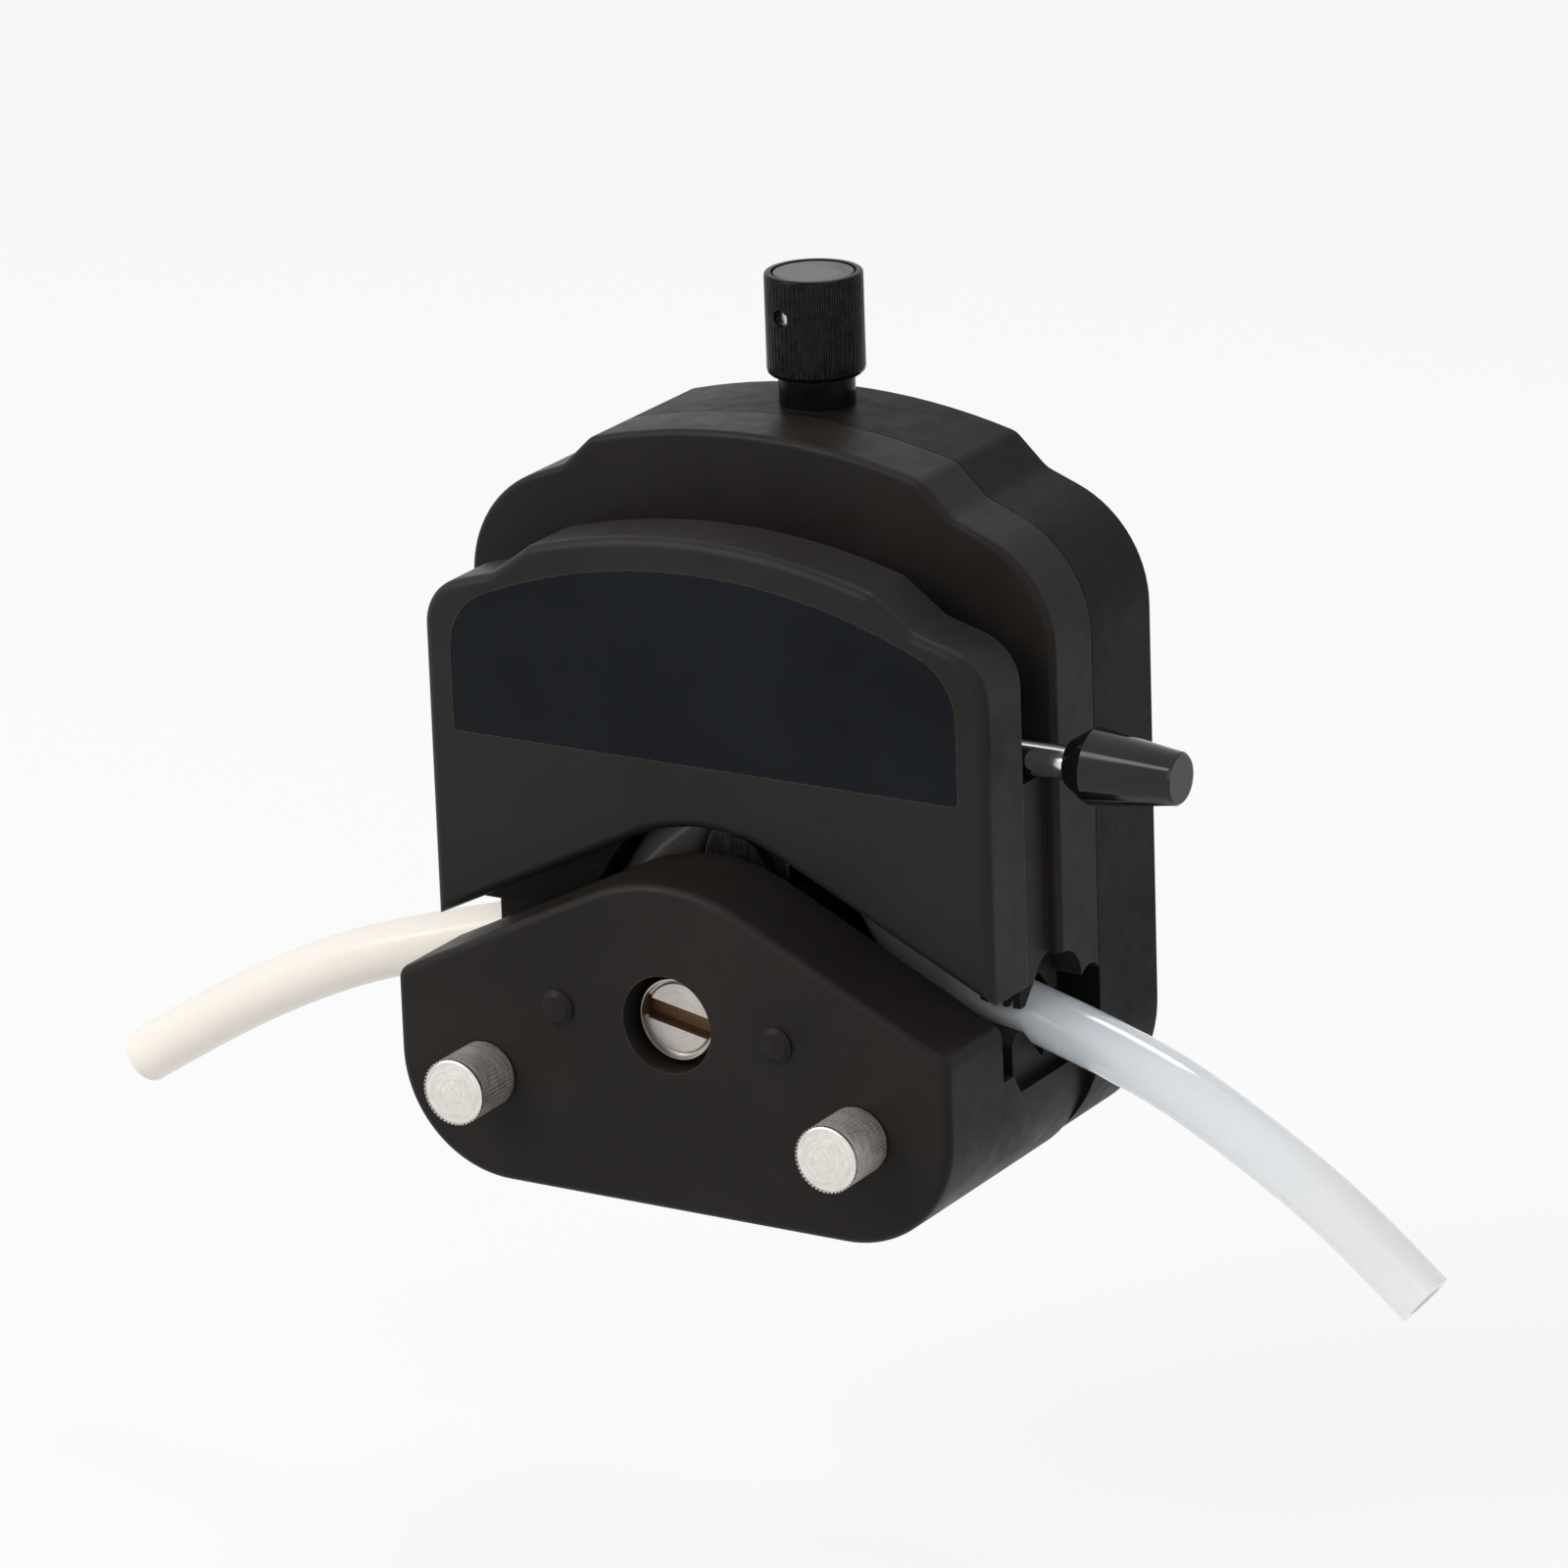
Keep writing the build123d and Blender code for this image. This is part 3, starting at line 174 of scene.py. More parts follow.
def finish_piece(piece, name, body, material, smooth=35, replaced=()):
    """Close the mesh, rest it at the origin, give it its name, finish and carrier."""
    if bpy.context.mode != "OBJECT":
        bpy.ops.object.mode_set(mode="OBJECT")
    bpy.ops.object.select_all(action="DESELECT")
    piece.select_set(True)
    bpy.context.view_layer.objects.active = piece
    bpy.ops.object.transform_apply(location=True, rotation=True, scale=True)
    bpy.ops.object.shade_smooth_by_angle(angle=radians(smooth))
    piece.name = name
    piece.data.name = name
    piece.data.materials.clear()
    piece.data.materials.append(material)
    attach(piece, body)
    if replaced:
        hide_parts(*replaced)
    return piece


def apply_modifier(piece, kind, **settings):
    modifier = piece.modifiers.new(kind.lower(), kind)
    for key, value in settings.items():
        setattr(modifier, key, value)
    bpy.context.view_layer.objects.active = piece
    bpy.ops.object.modifier_apply(modifier=modifier.name)


def push_out(vector):
    """Extrude what is selected."""
    bpy.ops.mesh.extrude_region_move(TRANSFORM_OT_translate={"value": vector})


def off_axis(place, middle, axis):
    """Distance of a place from the line through middle along one axis, given as 0, 1 or 2."""
    first, second = (i for i in range(3) if i != axis)
    return hypot(place[first] - middle[first], place[second] - middle[second])


def drill_out(piece, radius, depth, place, turn):
    """Cut a round hole into a piece, level, and turned about the upright from the Y axis."""
    cutter = begin(bpy.ops.mesh.primitive_cylinder_add, vertices=48, radius=radius, depth=depth,
                   location=place, rotation=(pi / 2, 0, turn))
    bpy.ops.object.mode_set(mode="OBJECT")
    apply_modifier(piece, "BOOLEAN", object=cutter, operation="DIFFERENCE", solver="EXACT")
    bpy.data.objects.remove(cutter)


def centre(node):
    low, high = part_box(node)
    return (low + high) / 2


# ---------------------------------------------------------------- shader helpers
def add_node(tree, kind, **inputs):
    """A shader node with some of its sockets set by name."""
    made = tree.nodes.new(kind)
    for key, value in inputs.items():
        made.inputs[key.replace("_", " ")].default_value = value
    return made


def join(tree, source, target):
    tree.links.new(source, target)


def object_place(tree):
    """Where a point lies on its own piece."""
    return tree.nodes.new("ShaderNodeTexCoord").outputs["Object"]


def split(tree, vector):
    """The X, Y and Z of a vector."""
    parts = tree.nodes.new("ShaderNodeSeparateXYZ")
    join(tree, vector, parts.inputs["Vector"])
    return parts.outputs


def calc(tree, operation, first, second=None):
    """A Math node; each term is a socket or a number."""
    made = tree.nodes.new("ShaderNodeMath")
    made.operation = operation
    for socket, term in zip(made.inputs, (first, second)):
        if isinstance(term, (int, float)):
            socket.default_value = term
        elif term is not None:
            join(tree, term, socket)
    return made.outputs[0]


def remap(tree, source, low, high, new_low, new_high):
    made = add_node(tree, "ShaderNodeMapRange")
    for key, value in (("From Min", low), ("From Max", high), ("To Min", new_low), ("To Max", new_high)):
        made.inputs[key].default_value = value
    join(tree, source, made.inputs["Value"])
    return made.outputs["Result"]


def blend_colour(tree, share, first, second):
    """Mix of two colours by a socket or number; each colour is a socket or a tuple."""
    made = tree.nodes.new("ShaderNodeMix")
    made.data_type = "RGBA"
    for key, value in ((0, share), (6, first), (7, second)):
        if isinstance(value, (int, float)):
            made.inputs[key].default_value = value
        elif isinstance(value, tuple):
            made.inputs[key].default_value = (*value, 1)
        else:
            join(tree, value, made.inputs[key])
    return made.outputs[2]


def new_group(name, inputs, outputs):
    """An empty shader group with float, vector or colour sockets."""
    kinds = {"float": "NodeSocketFloat", "vector": "NodeSocketVector", "colour": "NodeSocketColor"}
    tree = bpy.data.node_groups.new(name, "ShaderNodeTree")
    for key, (kind, value) in inputs.items():
        socket = tree.interface.new_socket(key, in_out="INPUT", socket_type=kinds[kind])
        if value is not None:
            socket.default_value = value
    for key, kind in outputs.items():
        tree.interface.new_socket(key, in_out="OUTPUT", socket_type=kinds[kind])
    return tree, tree.nodes.new("NodeGroupInput"), tree.nodes.new("NodeGroupOutput")


def place_group(tree, group, **inputs):
    made = tree.nodes.new("ShaderNodeGroup")
    made.node_tree = group
    for key, value in inputs.items():
        made.inputs[key.replace("_", " ")].default_value = value
    return made


def noise(tree, vector, scale, detail=3.0, roughness=0.55):
    made = add_node(tree, "ShaderNodeTexNoise", Scale=scale, Detail=detail, Roughness=roughness)
    join(tree, vector, made.inputs["Vector"])
    return made.outputs["Fac"]


# ---------------------------------------------------------------- shared effects
def group_mould_grain():
    """Fine spark-eroded grain of a moulded face, and slow tone changes across it."""
    tree, start, end = new_group("mould_grain", {"Grain": ("float", 2600.0), "Flow": ("float", 28.0)},
                                 {"Height": "float", "Tone": "float", "Sheen": "float"})
    place = object_place(tree)
    grain = add_node(tree, "ShaderNodeTexNoise", Detail=2.0, Roughness=0.6)
    join(tree, place, grain.inputs["Vector"])
    join(tree, start.outputs["Grain"], grain.inputs["Scale"])
    flow = add_node(tree, "ShaderNodeTexNoise", Detail=4.0, Roughness=0.55)
    join(tree, place, flow.inputs["Vector"])
    join(tree, start.outputs["Flow"], flow.inputs["Scale"])
    middle = noise(tree, place, 310.0, 3.0)
    join(tree, calc(tree, "ADD", calc(tree, "MULTIPLY", grain.outputs["Fac"], 0.8),
                    calc(tree, "MULTIPLY", middle, 0.2)), end.inputs["Height"])
    join(tree, remap(tree, flow.outputs["Fac"], 0.3, 0.7, 0.0, 1.0), end.inputs["Tone"])
    join(tree, remap(tree, calc(tree, "ADD", middle, flow.outputs["Fac"]), 0.7, 1.3, 0.0, 1.0),
         end.inputs["Sheen"])
    return tree


def group_worn_highlit_edge():
    """Mask of the edges, broken up by noise: edges rubbed bright by hands and cloths, and painted highlight
    along rounded edges.
    """
    tree, start, end = new_group("worn_highlit_edge", {"Reach": ("float", 0.0004), "Break": ("float", 700.0)},
                                 {"Mask": "float"})
    rounded = tree.nodes.new("ShaderNodeBevel")
    rounded.samples = 6
    join(tree, start.outputs["Reach"], rounded.inputs["Radius"])
    flat = tree.nodes.new("ShaderNodeNewGeometry")
    dot = tree.nodes.new("ShaderNodeVectorMath")
    dot.operation = "DOT_PRODUCT"
    join(tree, rounded.outputs["Normal"], dot.inputs[0])
    join(tree, flat.outputs["Normal"], dot.inputs[1])
    away = calc(tree, "SUBTRACT", 1.0, dot.outputs["Value"])
    place = object_place(tree)
    broken = add_node(tree, "ShaderNodeTexNoise", Detail=3.0)
    join(tree, place, broken.inputs["Vector"])
    join(tree, start.outputs["Break"], broken.inputs["Scale"])
    share = remap(tree, broken.outputs["Fac"], 0.35, 0.65, 0.35, 1.0)
    join(tree, calc(tree, "MULTIPLY", remap(tree, away, 0.02, 0.25, 0.0, 1.0), share), end.inputs["Mask"])
    return tree


def group_tool_lines():
    """Fine lines that a lathe or a belt leaves: noise drawn out along the pattern's own X."""
    tree, start, end = new_group("tool_lines", {"Vector": ("vector", None), "Fineness": ("float", 5200.0),
                                                "Stretch": ("float", 0.02)},
                                 {"Height": "float", "Tone": "float"})
    squeeze = tree.nodes.new("ShaderNodeVectorMath")
    squeeze.operation = "MULTIPLY"
    join(tree, start.outputs["Vector"], squeeze.inputs[0])
    thin = tree.nodes.new("ShaderNodeCombineXYZ")
    thin.inputs["Y"].default_value = 1.0
    thin.inputs["Z"].default_value = 1.0
    join(tree, start.outputs["Stretch"], thin.inputs["X"])
    join(tree, thin.outputs["Vector"], squeeze.inputs[1])
    fine = add_node(tree, "ShaderNodeTexNoise", Detail=2.0, Roughness=0.7)
    join(tree, squeeze.outputs["Vector"], fine.inputs["Vector"])
    join(tree, start.outputs["Fineness"], fine.inputs["Scale"])
    join(tree, fine.outputs["Fac"], end.inputs["Height"])
    join(tree, remap(tree, fine.outputs["Fac"], 0.3, 0.7, 0.0, 1.0), end.inputs["Tone"])
    return tree


def group_handling():
    """Finger marks and settled dust: a soft mask, stronger on faces that look up."""
    tree, start, end = new_group("handling", {"Size": ("float", 60.0), "Dust": ("float", 0.5)},
                                 {"Smear": "float", "Dust": "float"})
    place = object_place(tree)
    smear = add_node(tree, "ShaderNodeTexNoise", Detail=5.0, Roughness=0.6, Distortion=0.8)
    join(tree, place, smear.inputs["Vector"])
    join(tree, start.outputs["Size"], smear.inputs["Scale"])
    join(tree, remap(tree, smear.outputs["Fac"], 0.42, 0.68, 0.0, 1.0), end.inputs["Smear"])
    facing = split(tree, tree.nodes.new("ShaderNodeNewGeometry").outputs["Normal"])
    upward = remap(tree, facing["Z"], 0.3, 1.0, 0.0, 1.0)
    specks = remap(tree, noise(tree, place, 1900.0, 2.0), 0.45, 0.75, 0.15, 1.0)
    join(tree, calc(tree, "MULTIPLY", calc(tree, "MULTIPLY", upward, specks), start.outputs["Dust"]),
         end.inputs["Dust"])
    return tree


GRAIN = group_mould_grain()
WORN_HIGHLIT_EDGE = group_worn_highlit_edge()
TOOL_LINES = group_tool_lines()
HANDLING = group_handling()


# ---------------------------------------------------------------- finishes
def new_finish(name):
    made = bpy.data.materials.new(name)
    made.use_nodes = True
    tree = made.node_tree
    return made, tree, tree.nodes["Principled BSDF"]


def add_bump(tree, shader, height, strength, distance):
    bump = add_node(tree, "ShaderNodeBump", Strength=strength, Distance=distance)
    join(tree, height, bump.inputs["Height"])
    join(tree, bump.outputs["Normal"], shader.inputs["Normal"])


def moulded(name, dark, light, edge, rough=(0.36, 0.5), grain=2600.0, relief=0.25, dust=0.35,
            edge_reach=0.0004, shine=0.2):
    """Satin moulded plastic: grain, slow tone changes, lighter edges that are partly rubbed wear and partly
    painted highlight, and a little dust on top.
    """
    made, tree, shader = new_finish(name)
    shader.inputs["Specular IOR Level"].default_value = shine
    shader.inputs["IOR"].default_value = PLASTIC_IOR
    skin = place_group(tree, GRAIN, Grain=grain)
    worn_highlit = place_group(tree, WORN_HIGHLIT_EDGE, Reach=edge_reach)
    handled = place_group(tree, HANDLING, Dust=dust)
    colour = blend_colour(tree, skin.outputs["Tone"], dark, light)
    # edge colour: partly rubbed wear, partly painted highlight along rounded edges
    colour = blend_colour(tree, calc(tree, "MULTIPLY", worn_highlit.outputs["Mask"], 0.7), colour, edge)
    colour = blend_colour(tree, calc(tree, "MULTIPLY", handled.outputs["Dust"], 0.12), colour, DUST)
    join(tree, colour, shader.inputs["Base Color"])
    gloss = remap(tree, skin.outputs["Sheen"], 0.0, 1.0, *rough)
    gloss = calc(tree, "SUBTRACT", gloss, calc(tree, "MULTIPLY", worn_highlit.outputs["Mask"], 0.1))
    gloss = calc(tree, "ADD", gloss, calc(tree, "MULTIPLY", handled.outputs["Smear"], 0.06))
    join(tree, gloss, shader.inputs["Roughness"])
    add_bump(tree, shader, skin.outputs["Height"], relief, 0.00006)
    return made


def lathe_vector(tree, axis, middle):
    """Pattern place on a turned part: X runs round the axis, Y along it and Z outwards."""
    place = object_place(tree)
    centred = tree.nodes.new("ShaderNodeMapping")
    centred.inputs["Location"].default_value = tuple(-c for c in middle)
    join(tree, place, centred.inputs["Vector"])
    parts = split(tree, centred.outputs["Vector"])
    first, second = (parts[key] for key in "XYZ" if key != axis)
    round_it = calc(tree, "MULTIPLY", calc(tree, "ARCTAN2", first, second), 0.005)
    out = calc(tree, "SQRT", calc(tree, "ADD", calc(tree, "MULTIPLY", first, first),
                                  calc(tree, "MULTIPLY", second, second)))
    vector = tree.nodes.new("ShaderNodeCombineXYZ")
    join(tree, round_it, vector.inputs["X"])
    join(tree, parts[axis], vector.inputs["Y"])
    join(tree, out, vector.inputs["Z"])
    return vector.outputs["Vector"]


def straight_vector(tree, along):
    """Pattern place on a flat-ground part, its lines running along one axis."""
    parts = split(tree, object_place(tree))
    order = along + "".join(key for key in "XYZ" if key != along)
    vector = tree.nodes.new("ShaderNodeCombineXYZ")
    for key, source in zip("XYZ", order):
        join(tree, parts[source], vector.inputs[key])
    return vector.outputs["Vector"]


def band_mask(tree, source, start, stop):
    """One past stop, nought before start, with an even rise between."""
    return remap(tree, source, start, stop, 0.0, 1.0)


def slot_mask(tree, place, depth_y, half_width, turn):
    """The driver slot: from depth_y to just past its floor, within half_width of its line, turned about Y."""
    parts = split(tree, place)
    across = calc(tree, "ADD", calc(tree, "MULTIPLY", parts["X"], sin(turn)),
                  calc(tree, "MULTIPLY", parts["Z"], cos(turn)))
    near = calc(tree, "LESS_THAN", calc(tree, "ABSOLUTE", across), half_width)
    deep = band_mask(tree, parts["Y"], depth_y, depth_y + 0.5 * MM)
    above_floor = calc(tree, "LESS_THAN", parts["Y"], depth_y + SLOT_REACH)
    return calc(tree, "MULTIPLY", calc(tree, "MULTIPLY", near, deep), above_floor)


def metal(name, dark, light, rough=(0.18, 0.34), axis="Y", middle=None, fineness=5200.0, relief=0.12,
          stretch=0.02, edge_reach=0.00025, smear=0.08, flank=None, slot=None):
    """Bare metal with lathe or belt lines, brighter edges that are partly rubbed wear and partly painted
    highlight, and finger marks.

    flank is the Y behind which the surface is duller, and slot the Y, half width and turn of a slot coloured
    darker brown.
    """
    made, tree, shader = new_finish(name)
    shader.inputs["Metallic"].default_value = 1.0
    vector = lathe_vector(tree, axis, middle) if middle is not None else straight_vector(tree, axis)
    lines = place_group(tree, TOOL_LINES, Fineness=fineness, Stretch=stretch)
    join(tree, vector, lines.inputs["Vector"])
    handled = place_group(tree, HANDLING, Size=110.0)
    worn_highlit = place_group(tree, WORN_HIGHLIT_EDGE, Reach=edge_reach)
    colour = blend_colour(tree, lines.outputs["Tone"], dark, light)
    colour = blend_colour(tree, calc(tree, "MULTIPLY", handled.outputs["Smear"], 0.25), colour,
                          tuple(0.8 * c for c in dark))
    # edge colour: partly rubbed wear, partly painted highlight along rounded edges
    colour = blend_colour(tree, calc(tree, "MULTIPLY", worn_highlit.outputs["Mask"], 0.6), colour, light)
    gloss = remap(tree, lines.outputs["Tone"], 0.0, 1.0, *rough)
    gloss = calc(tree, "ADD", gloss, calc(tree, "MULTIPLY", handled.outputs["Smear"], smear))
    place = object_place(tree)
    if flank is not None:
        behind = band_mask(tree, split(tree, place)["Y"], flank, flank + 0.2 * MM)
        gloss = calc(tree, "ADD", gloss, calc(tree, "MULTIPLY", behind, 0.2))
    if slot is not None:
        # the slot is coloured darker brown and made rougher
        in_slot = slot_mask(tree, place, *slot)
        colour = blend_colour(tree, in_slot, colour, SLOT_BROWN)
        gloss = calc(tree, "ADD", gloss, calc(tree, "MULTIPLY", in_slot, 0.3))
    join(tree, colour, shader.inputs["Base Color"])
    join(tree, gloss, shader.inputs["Roughness"])
    add_bump(tree, shader, lines.outputs["Height"], relief, 0.00003)
    return made


def tubing(name, near, far, clear, rough, ior=1.41, coat=0.3):
    """Elastomer tubing: clouded wall, greasy skin, paler free end, and painted shade inside the head."""
    made, tree, shader = new_finish(name)
    shader.inputs["Transmission Weight"].default_value = clear
    shader.inputs["IOR"].default_value = ior
    shader.inputs["Coat Weight"].default_value = coat
    shader.inputs["Coat Roughness"].default_value = 0.05
    place = object_place(tree)
    out = calc(tree, "ABSOLUTE", split(tree, place)["X"])
    cloud = remap(tree, noise(tree, place, 75.0, 3.0), 0.3, 0.7, 0.9, 1.0)
    colour = blend_colour(tree, band_mask(tree, out, *PALER_REACH), near, far)
    colour = blend_colour(tree, cloud, tuple(CLOUD_SHADE * c for c in near), colour)
    # painted shade: the hose is tinted grey inside the head, fading out towards the arches
    unshaded = calc(tree, "ADD", band_mask(tree, out, *INSIDE_SHADE_REACH), calc(tree, "MULTIPLY", cloud, 0.1))
    colour = blend_colour(tree, calc(tree, "MINIMUM", unshaded, 1.0), INSIDE_SHADE_TINT, colour)
    join(tree, colour, shader.inputs["Base Color"])
    fine = noise(tree, place, 900.0, 2.0)
    join(tree, remap(tree, fine, 0.3, 0.7, *rough), shader.inputs["Roughness"])
    add_bump(tree, shader, calc(tree, "ADD", fine, calc(tree, "MULTIPLY", cloud, 2.0)), 0.12, 0.00005)
    return made


# ---------------------------------------------------------------- tubing
def route_line(name, points):
    """Smooth centre line in the tube's own plane; the points are millimetres in X and Z."""
    line = bpy.data.curves.new(name, "CURVE")
    line.dimensions = "3D"
    spline = line.splines.new("NURBS")
    spline.points.add(len(points) - 1)
    for spot, (x, z) in zip(spline.points, points):
        spot.co = (x * MM, TUBE_Y, z * MM, 1.0)
    spline.order_u = 3
    spline.use_endpoint_u = True
    spline.resolution_u = 16
    piece = bpy.data.objects.new(name, line)
    bpy.context.scene.collection.objects.link(piece)
    return piece


def read_line(piece):
    """The points that the line itself passes through."""
    mesh = bpy.data.meshes.new_from_object(piece)
    found = [corner.co.copy() for corner in mesh.vertices]
    bpy.data.meshes.remove(mesh)
    return found


def tube_round(line, roundness=10):
    """Hollow tube round the line, open at both ends, its wall turned inwards."""
    line.data.bevel_depth = TUBE_R
    line.data.bevel_resolution = roundness
    bpy.ops.object.select_all(action="DESELECT")
    line.select_set(True)
    bpy.context.view_layer.objects.active = line
    bpy.ops.object.convert(target="MESH")
    bpy.ops.object.mode_set(mode="EDIT")
    bpy.ops.mesh.select_all(action="SELECT")
    bpy.ops.mesh.remove_doubles(threshold=NEAR)
    bpy.ops.mesh.normals_make_consistent(inside=False)
    bpy.ops.object.mode_set(mode="OBJECT")
    apply_modifier(line, "SOLIDIFY", thickness=TUBE_WALL, offset=-1.0, use_even_offset=True)
    return line


def free_tube(side, route, material):
    """A free end of the tubing, drooping from the arch to its square cut."""
    line = route_line("tube_" + side + "_line", route)
    path = read_line(line)
    tube = finish_piece(tube_round(line), "hose_" + side, body_of_node["tube_" + side], material,
                        replaced=["tube_" + side])
    return tube


def pinch(hose):
    """Press the hose over the top roller: thin between roller and bed, and wider by as much."""
    low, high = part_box("roller_1")
    orbit, radius = (low.z + high.z) / 2, (high.z - low.z) / 2
    inside = BED_LINE_R - TUBE_R
    full = orbit + radius - inside
    bed = BED_LINE_R + TUBE_R
    for corner in hose.data.vertices:
        x, y, z = corner.co
        out, turn = hypot(x, z), atan2(x, z)
        if z < 0 or abs(turn) > PINCH_SPREAD:
            continue
        across = orbit * sin(turn)
        roller = 0
        if abs(across) < radius:
            roller = orbit * cos(turn) + (radius ** 2 - across ** 2) ** 0.5 - inside
        share = max(roller / full, 0.5 * (1 + cos(pi * turn / PINCH_SPREAD)))
        pressed = bed - (bed - out) * (1 - share * full / (2 * TUBE_R))
        wider = 1 + PINCH_WIDENING * share
        corner.co = (x * pressed / out, TUBE_Y + (y - TUBE_Y) * wider, z * pressed / out)


def pumping_hose(left_material, right_material):
    """The hose through the head, round the bed from one arch to the other."""
    route = [(-x, z) for x, z in reversed(HEAD_ROUTE_HALF)] + HEAD_ROUTE_HALF
    hose = tube_round(route_line("pumping_line", route))
    pinch(hose)
    finish_piece(hose, "pumping_hose", "base", left_material, replaced=["pumping_tube"])
    hose.data.materials.append(right_material)
    for face in hose.data.polygons:
        face.material_index = int(face.center.x > 0)


# ---------------------------------------------------------------- knob
def flute(axis, middle, count, shares, low, high, depth):
    """Press straight flutes into a round piece whose sides have a whole number of faces to a flute.

    low and high are the reach of the knurled band along the axis, and shares the faces sunk in each flute.
    """
    across = [i for i in range(3) if i != axis]

    def in_flute(place, normal):
        if abs(normal[axis]) > 0.2 or not low < place[axis] < high:
            return False
        turn = atan2(place[across[1]] - middle[across[1]], place[across[0]] - middle[across[0]])
        return (turn / (2 * pi) * count) % 1.0 < shares

    pick("FACE", in_flute)
    bpy.ops.mesh.inset(thickness=0.02 * MM, depth=-depth, use_individual=False)


def knob(material, cap_material):
    """Knurled knob with a rim, a groove round its cap, bevelled ends and a cross hole."""
    low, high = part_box("knob")
    middle = (low + high) / 2
    radius, tall = (high.x - low.x) / 2, high.z - low.z

    def rim(height):
        """Test for the outer edges of one end."""
        return lambda a, b: (abs(a.z - height) < NEAR and abs(b.z - height) < NEAR
                             and min(off_axis(a, middle, 2), off_axis(b, middle, 2)) > radius - 0.05 * MM)

    piece = begin(bpy.ops.mesh.primitive_cylinder_add, vertices=KNOB_SIDES, radius=radius, depth=tall,
                  location=middle, end_fill_type="NGON")
    pick("FACE", lambda place, normal: normal.z < -0.9)
    bpy.ops.mesh.inset(thickness=KNOB_RIM)
    pick("FACE", lambda place, normal: normal.z > 0.9)
    bpy.ops.mesh.inset(thickness=KNOB_RIM)
    push_out(UP * -CAP_GROOVE_DEPTH)
    bpy.ops.mesh.inset(thickness=CAP_GROOVE)
    push_out(UP * CAP_RISE)
    pick("EDGE", rim(high.z))
    bpy.ops.mesh.bevel(offset=KNOB_TOP_BEVEL, segments=4, affect="EDGES")
    pick("EDGE", rim(low.z))
    bpy.ops.mesh.bevel(offset=KNOB_FOOT_BEVEL, segments=3, affect="EDGES")
    flute(2, middle, KNOB_FLUTES, 0.5, low.z + KNOB_PLAIN_END, high.z - KNOB_PLAIN_END, FLUTE_DEPTH)
    bpy.ops.object.mode_set(mode="OBJECT")
    pin = centre("knob_pin")
    drill_out(piece, CROSS_HOLE_R, 6 * radius, pin, CROSS_HOLE_TURN)
    outward = Vector((sin(CROSS_HOLE_TURN), -cos(CROSS_HOLE_TURN), 0))
    for way in (-1, 1):
        drill_out(piece, CROSS_HOLE_MOUTH_R, CROSS_HOLE_MOUTH_DEPTH, pin + outward * way * radius,
                  CROSS_HOLE_TURN)
    finish_piece(piece, "knurled_knob", "adjuster", material, smooth=32, replaced=["knob"])
    piece.data.materials.append(cap_material)
    for face in piece.data.polygons:
        if face.normal.z > 0.9 and off_axis(face.center, middle, 2) < radius - CAP_MARGIN:
            face.material_index = 1
    return piece


# ---------------------------------------------------------------- thumbscrews
def rolled_thread(name, middle, start, stop, root, crest, pitch, material, body):
    """Thread ridge wound round an axis along Y, each turn a closed tooth that runs out at both ends."""
    count = int((stop - start - pitch) / pitch * THREAD_STEPS)
    run_out = 0.5 * THREAD_STEPS
    sunk = root - 0.1 * MM
    mesh = bpy.data.meshes.new(name)
    shape = bmesh.new()
    rings = []
    for step in range(count + 1):
        angle = 2 * pi * step / THREAD_STEPS
        along = start + pitch * step / THREAD_STEPS
        fade = min(1.0, step / run_out, (count - step) / run_out)
        tip = root + (crest - root) * max(fade, 0.02)
        ring = []
        for out, shift in ((sunk, 0.0), (tip, 0.4 * pitch), (tip, 0.52 * pitch), (sunk, 0.92 * pitch)):
            spot = (middle.x + out * cos(angle), along + shift, middle.z + out * sin(angle))
            ring.append(shape.verts.new(spot))
        rings.append(ring)
    for ring, following in zip(rings, rings[1:]):
        for i in range(4):
            shape.faces.new((ring[i], ring[(i + 1) % 4], following[(i + 1) % 4], following[i]))
    shape.faces.new(rings[0])
    shape.faces.new(tuple(reversed(rings[-1])))
    bmesh.ops.recalc_face_normals(shape, faces=shape.faces)
    shape.to_mesh(mesh)
    shape.free()
    ridge = bpy.data.objects.new(name, mesh)
    bpy.context.scene.collection.objects.link(ridge)
    return finish_piece(ridge, name, body, material, smooth=30)


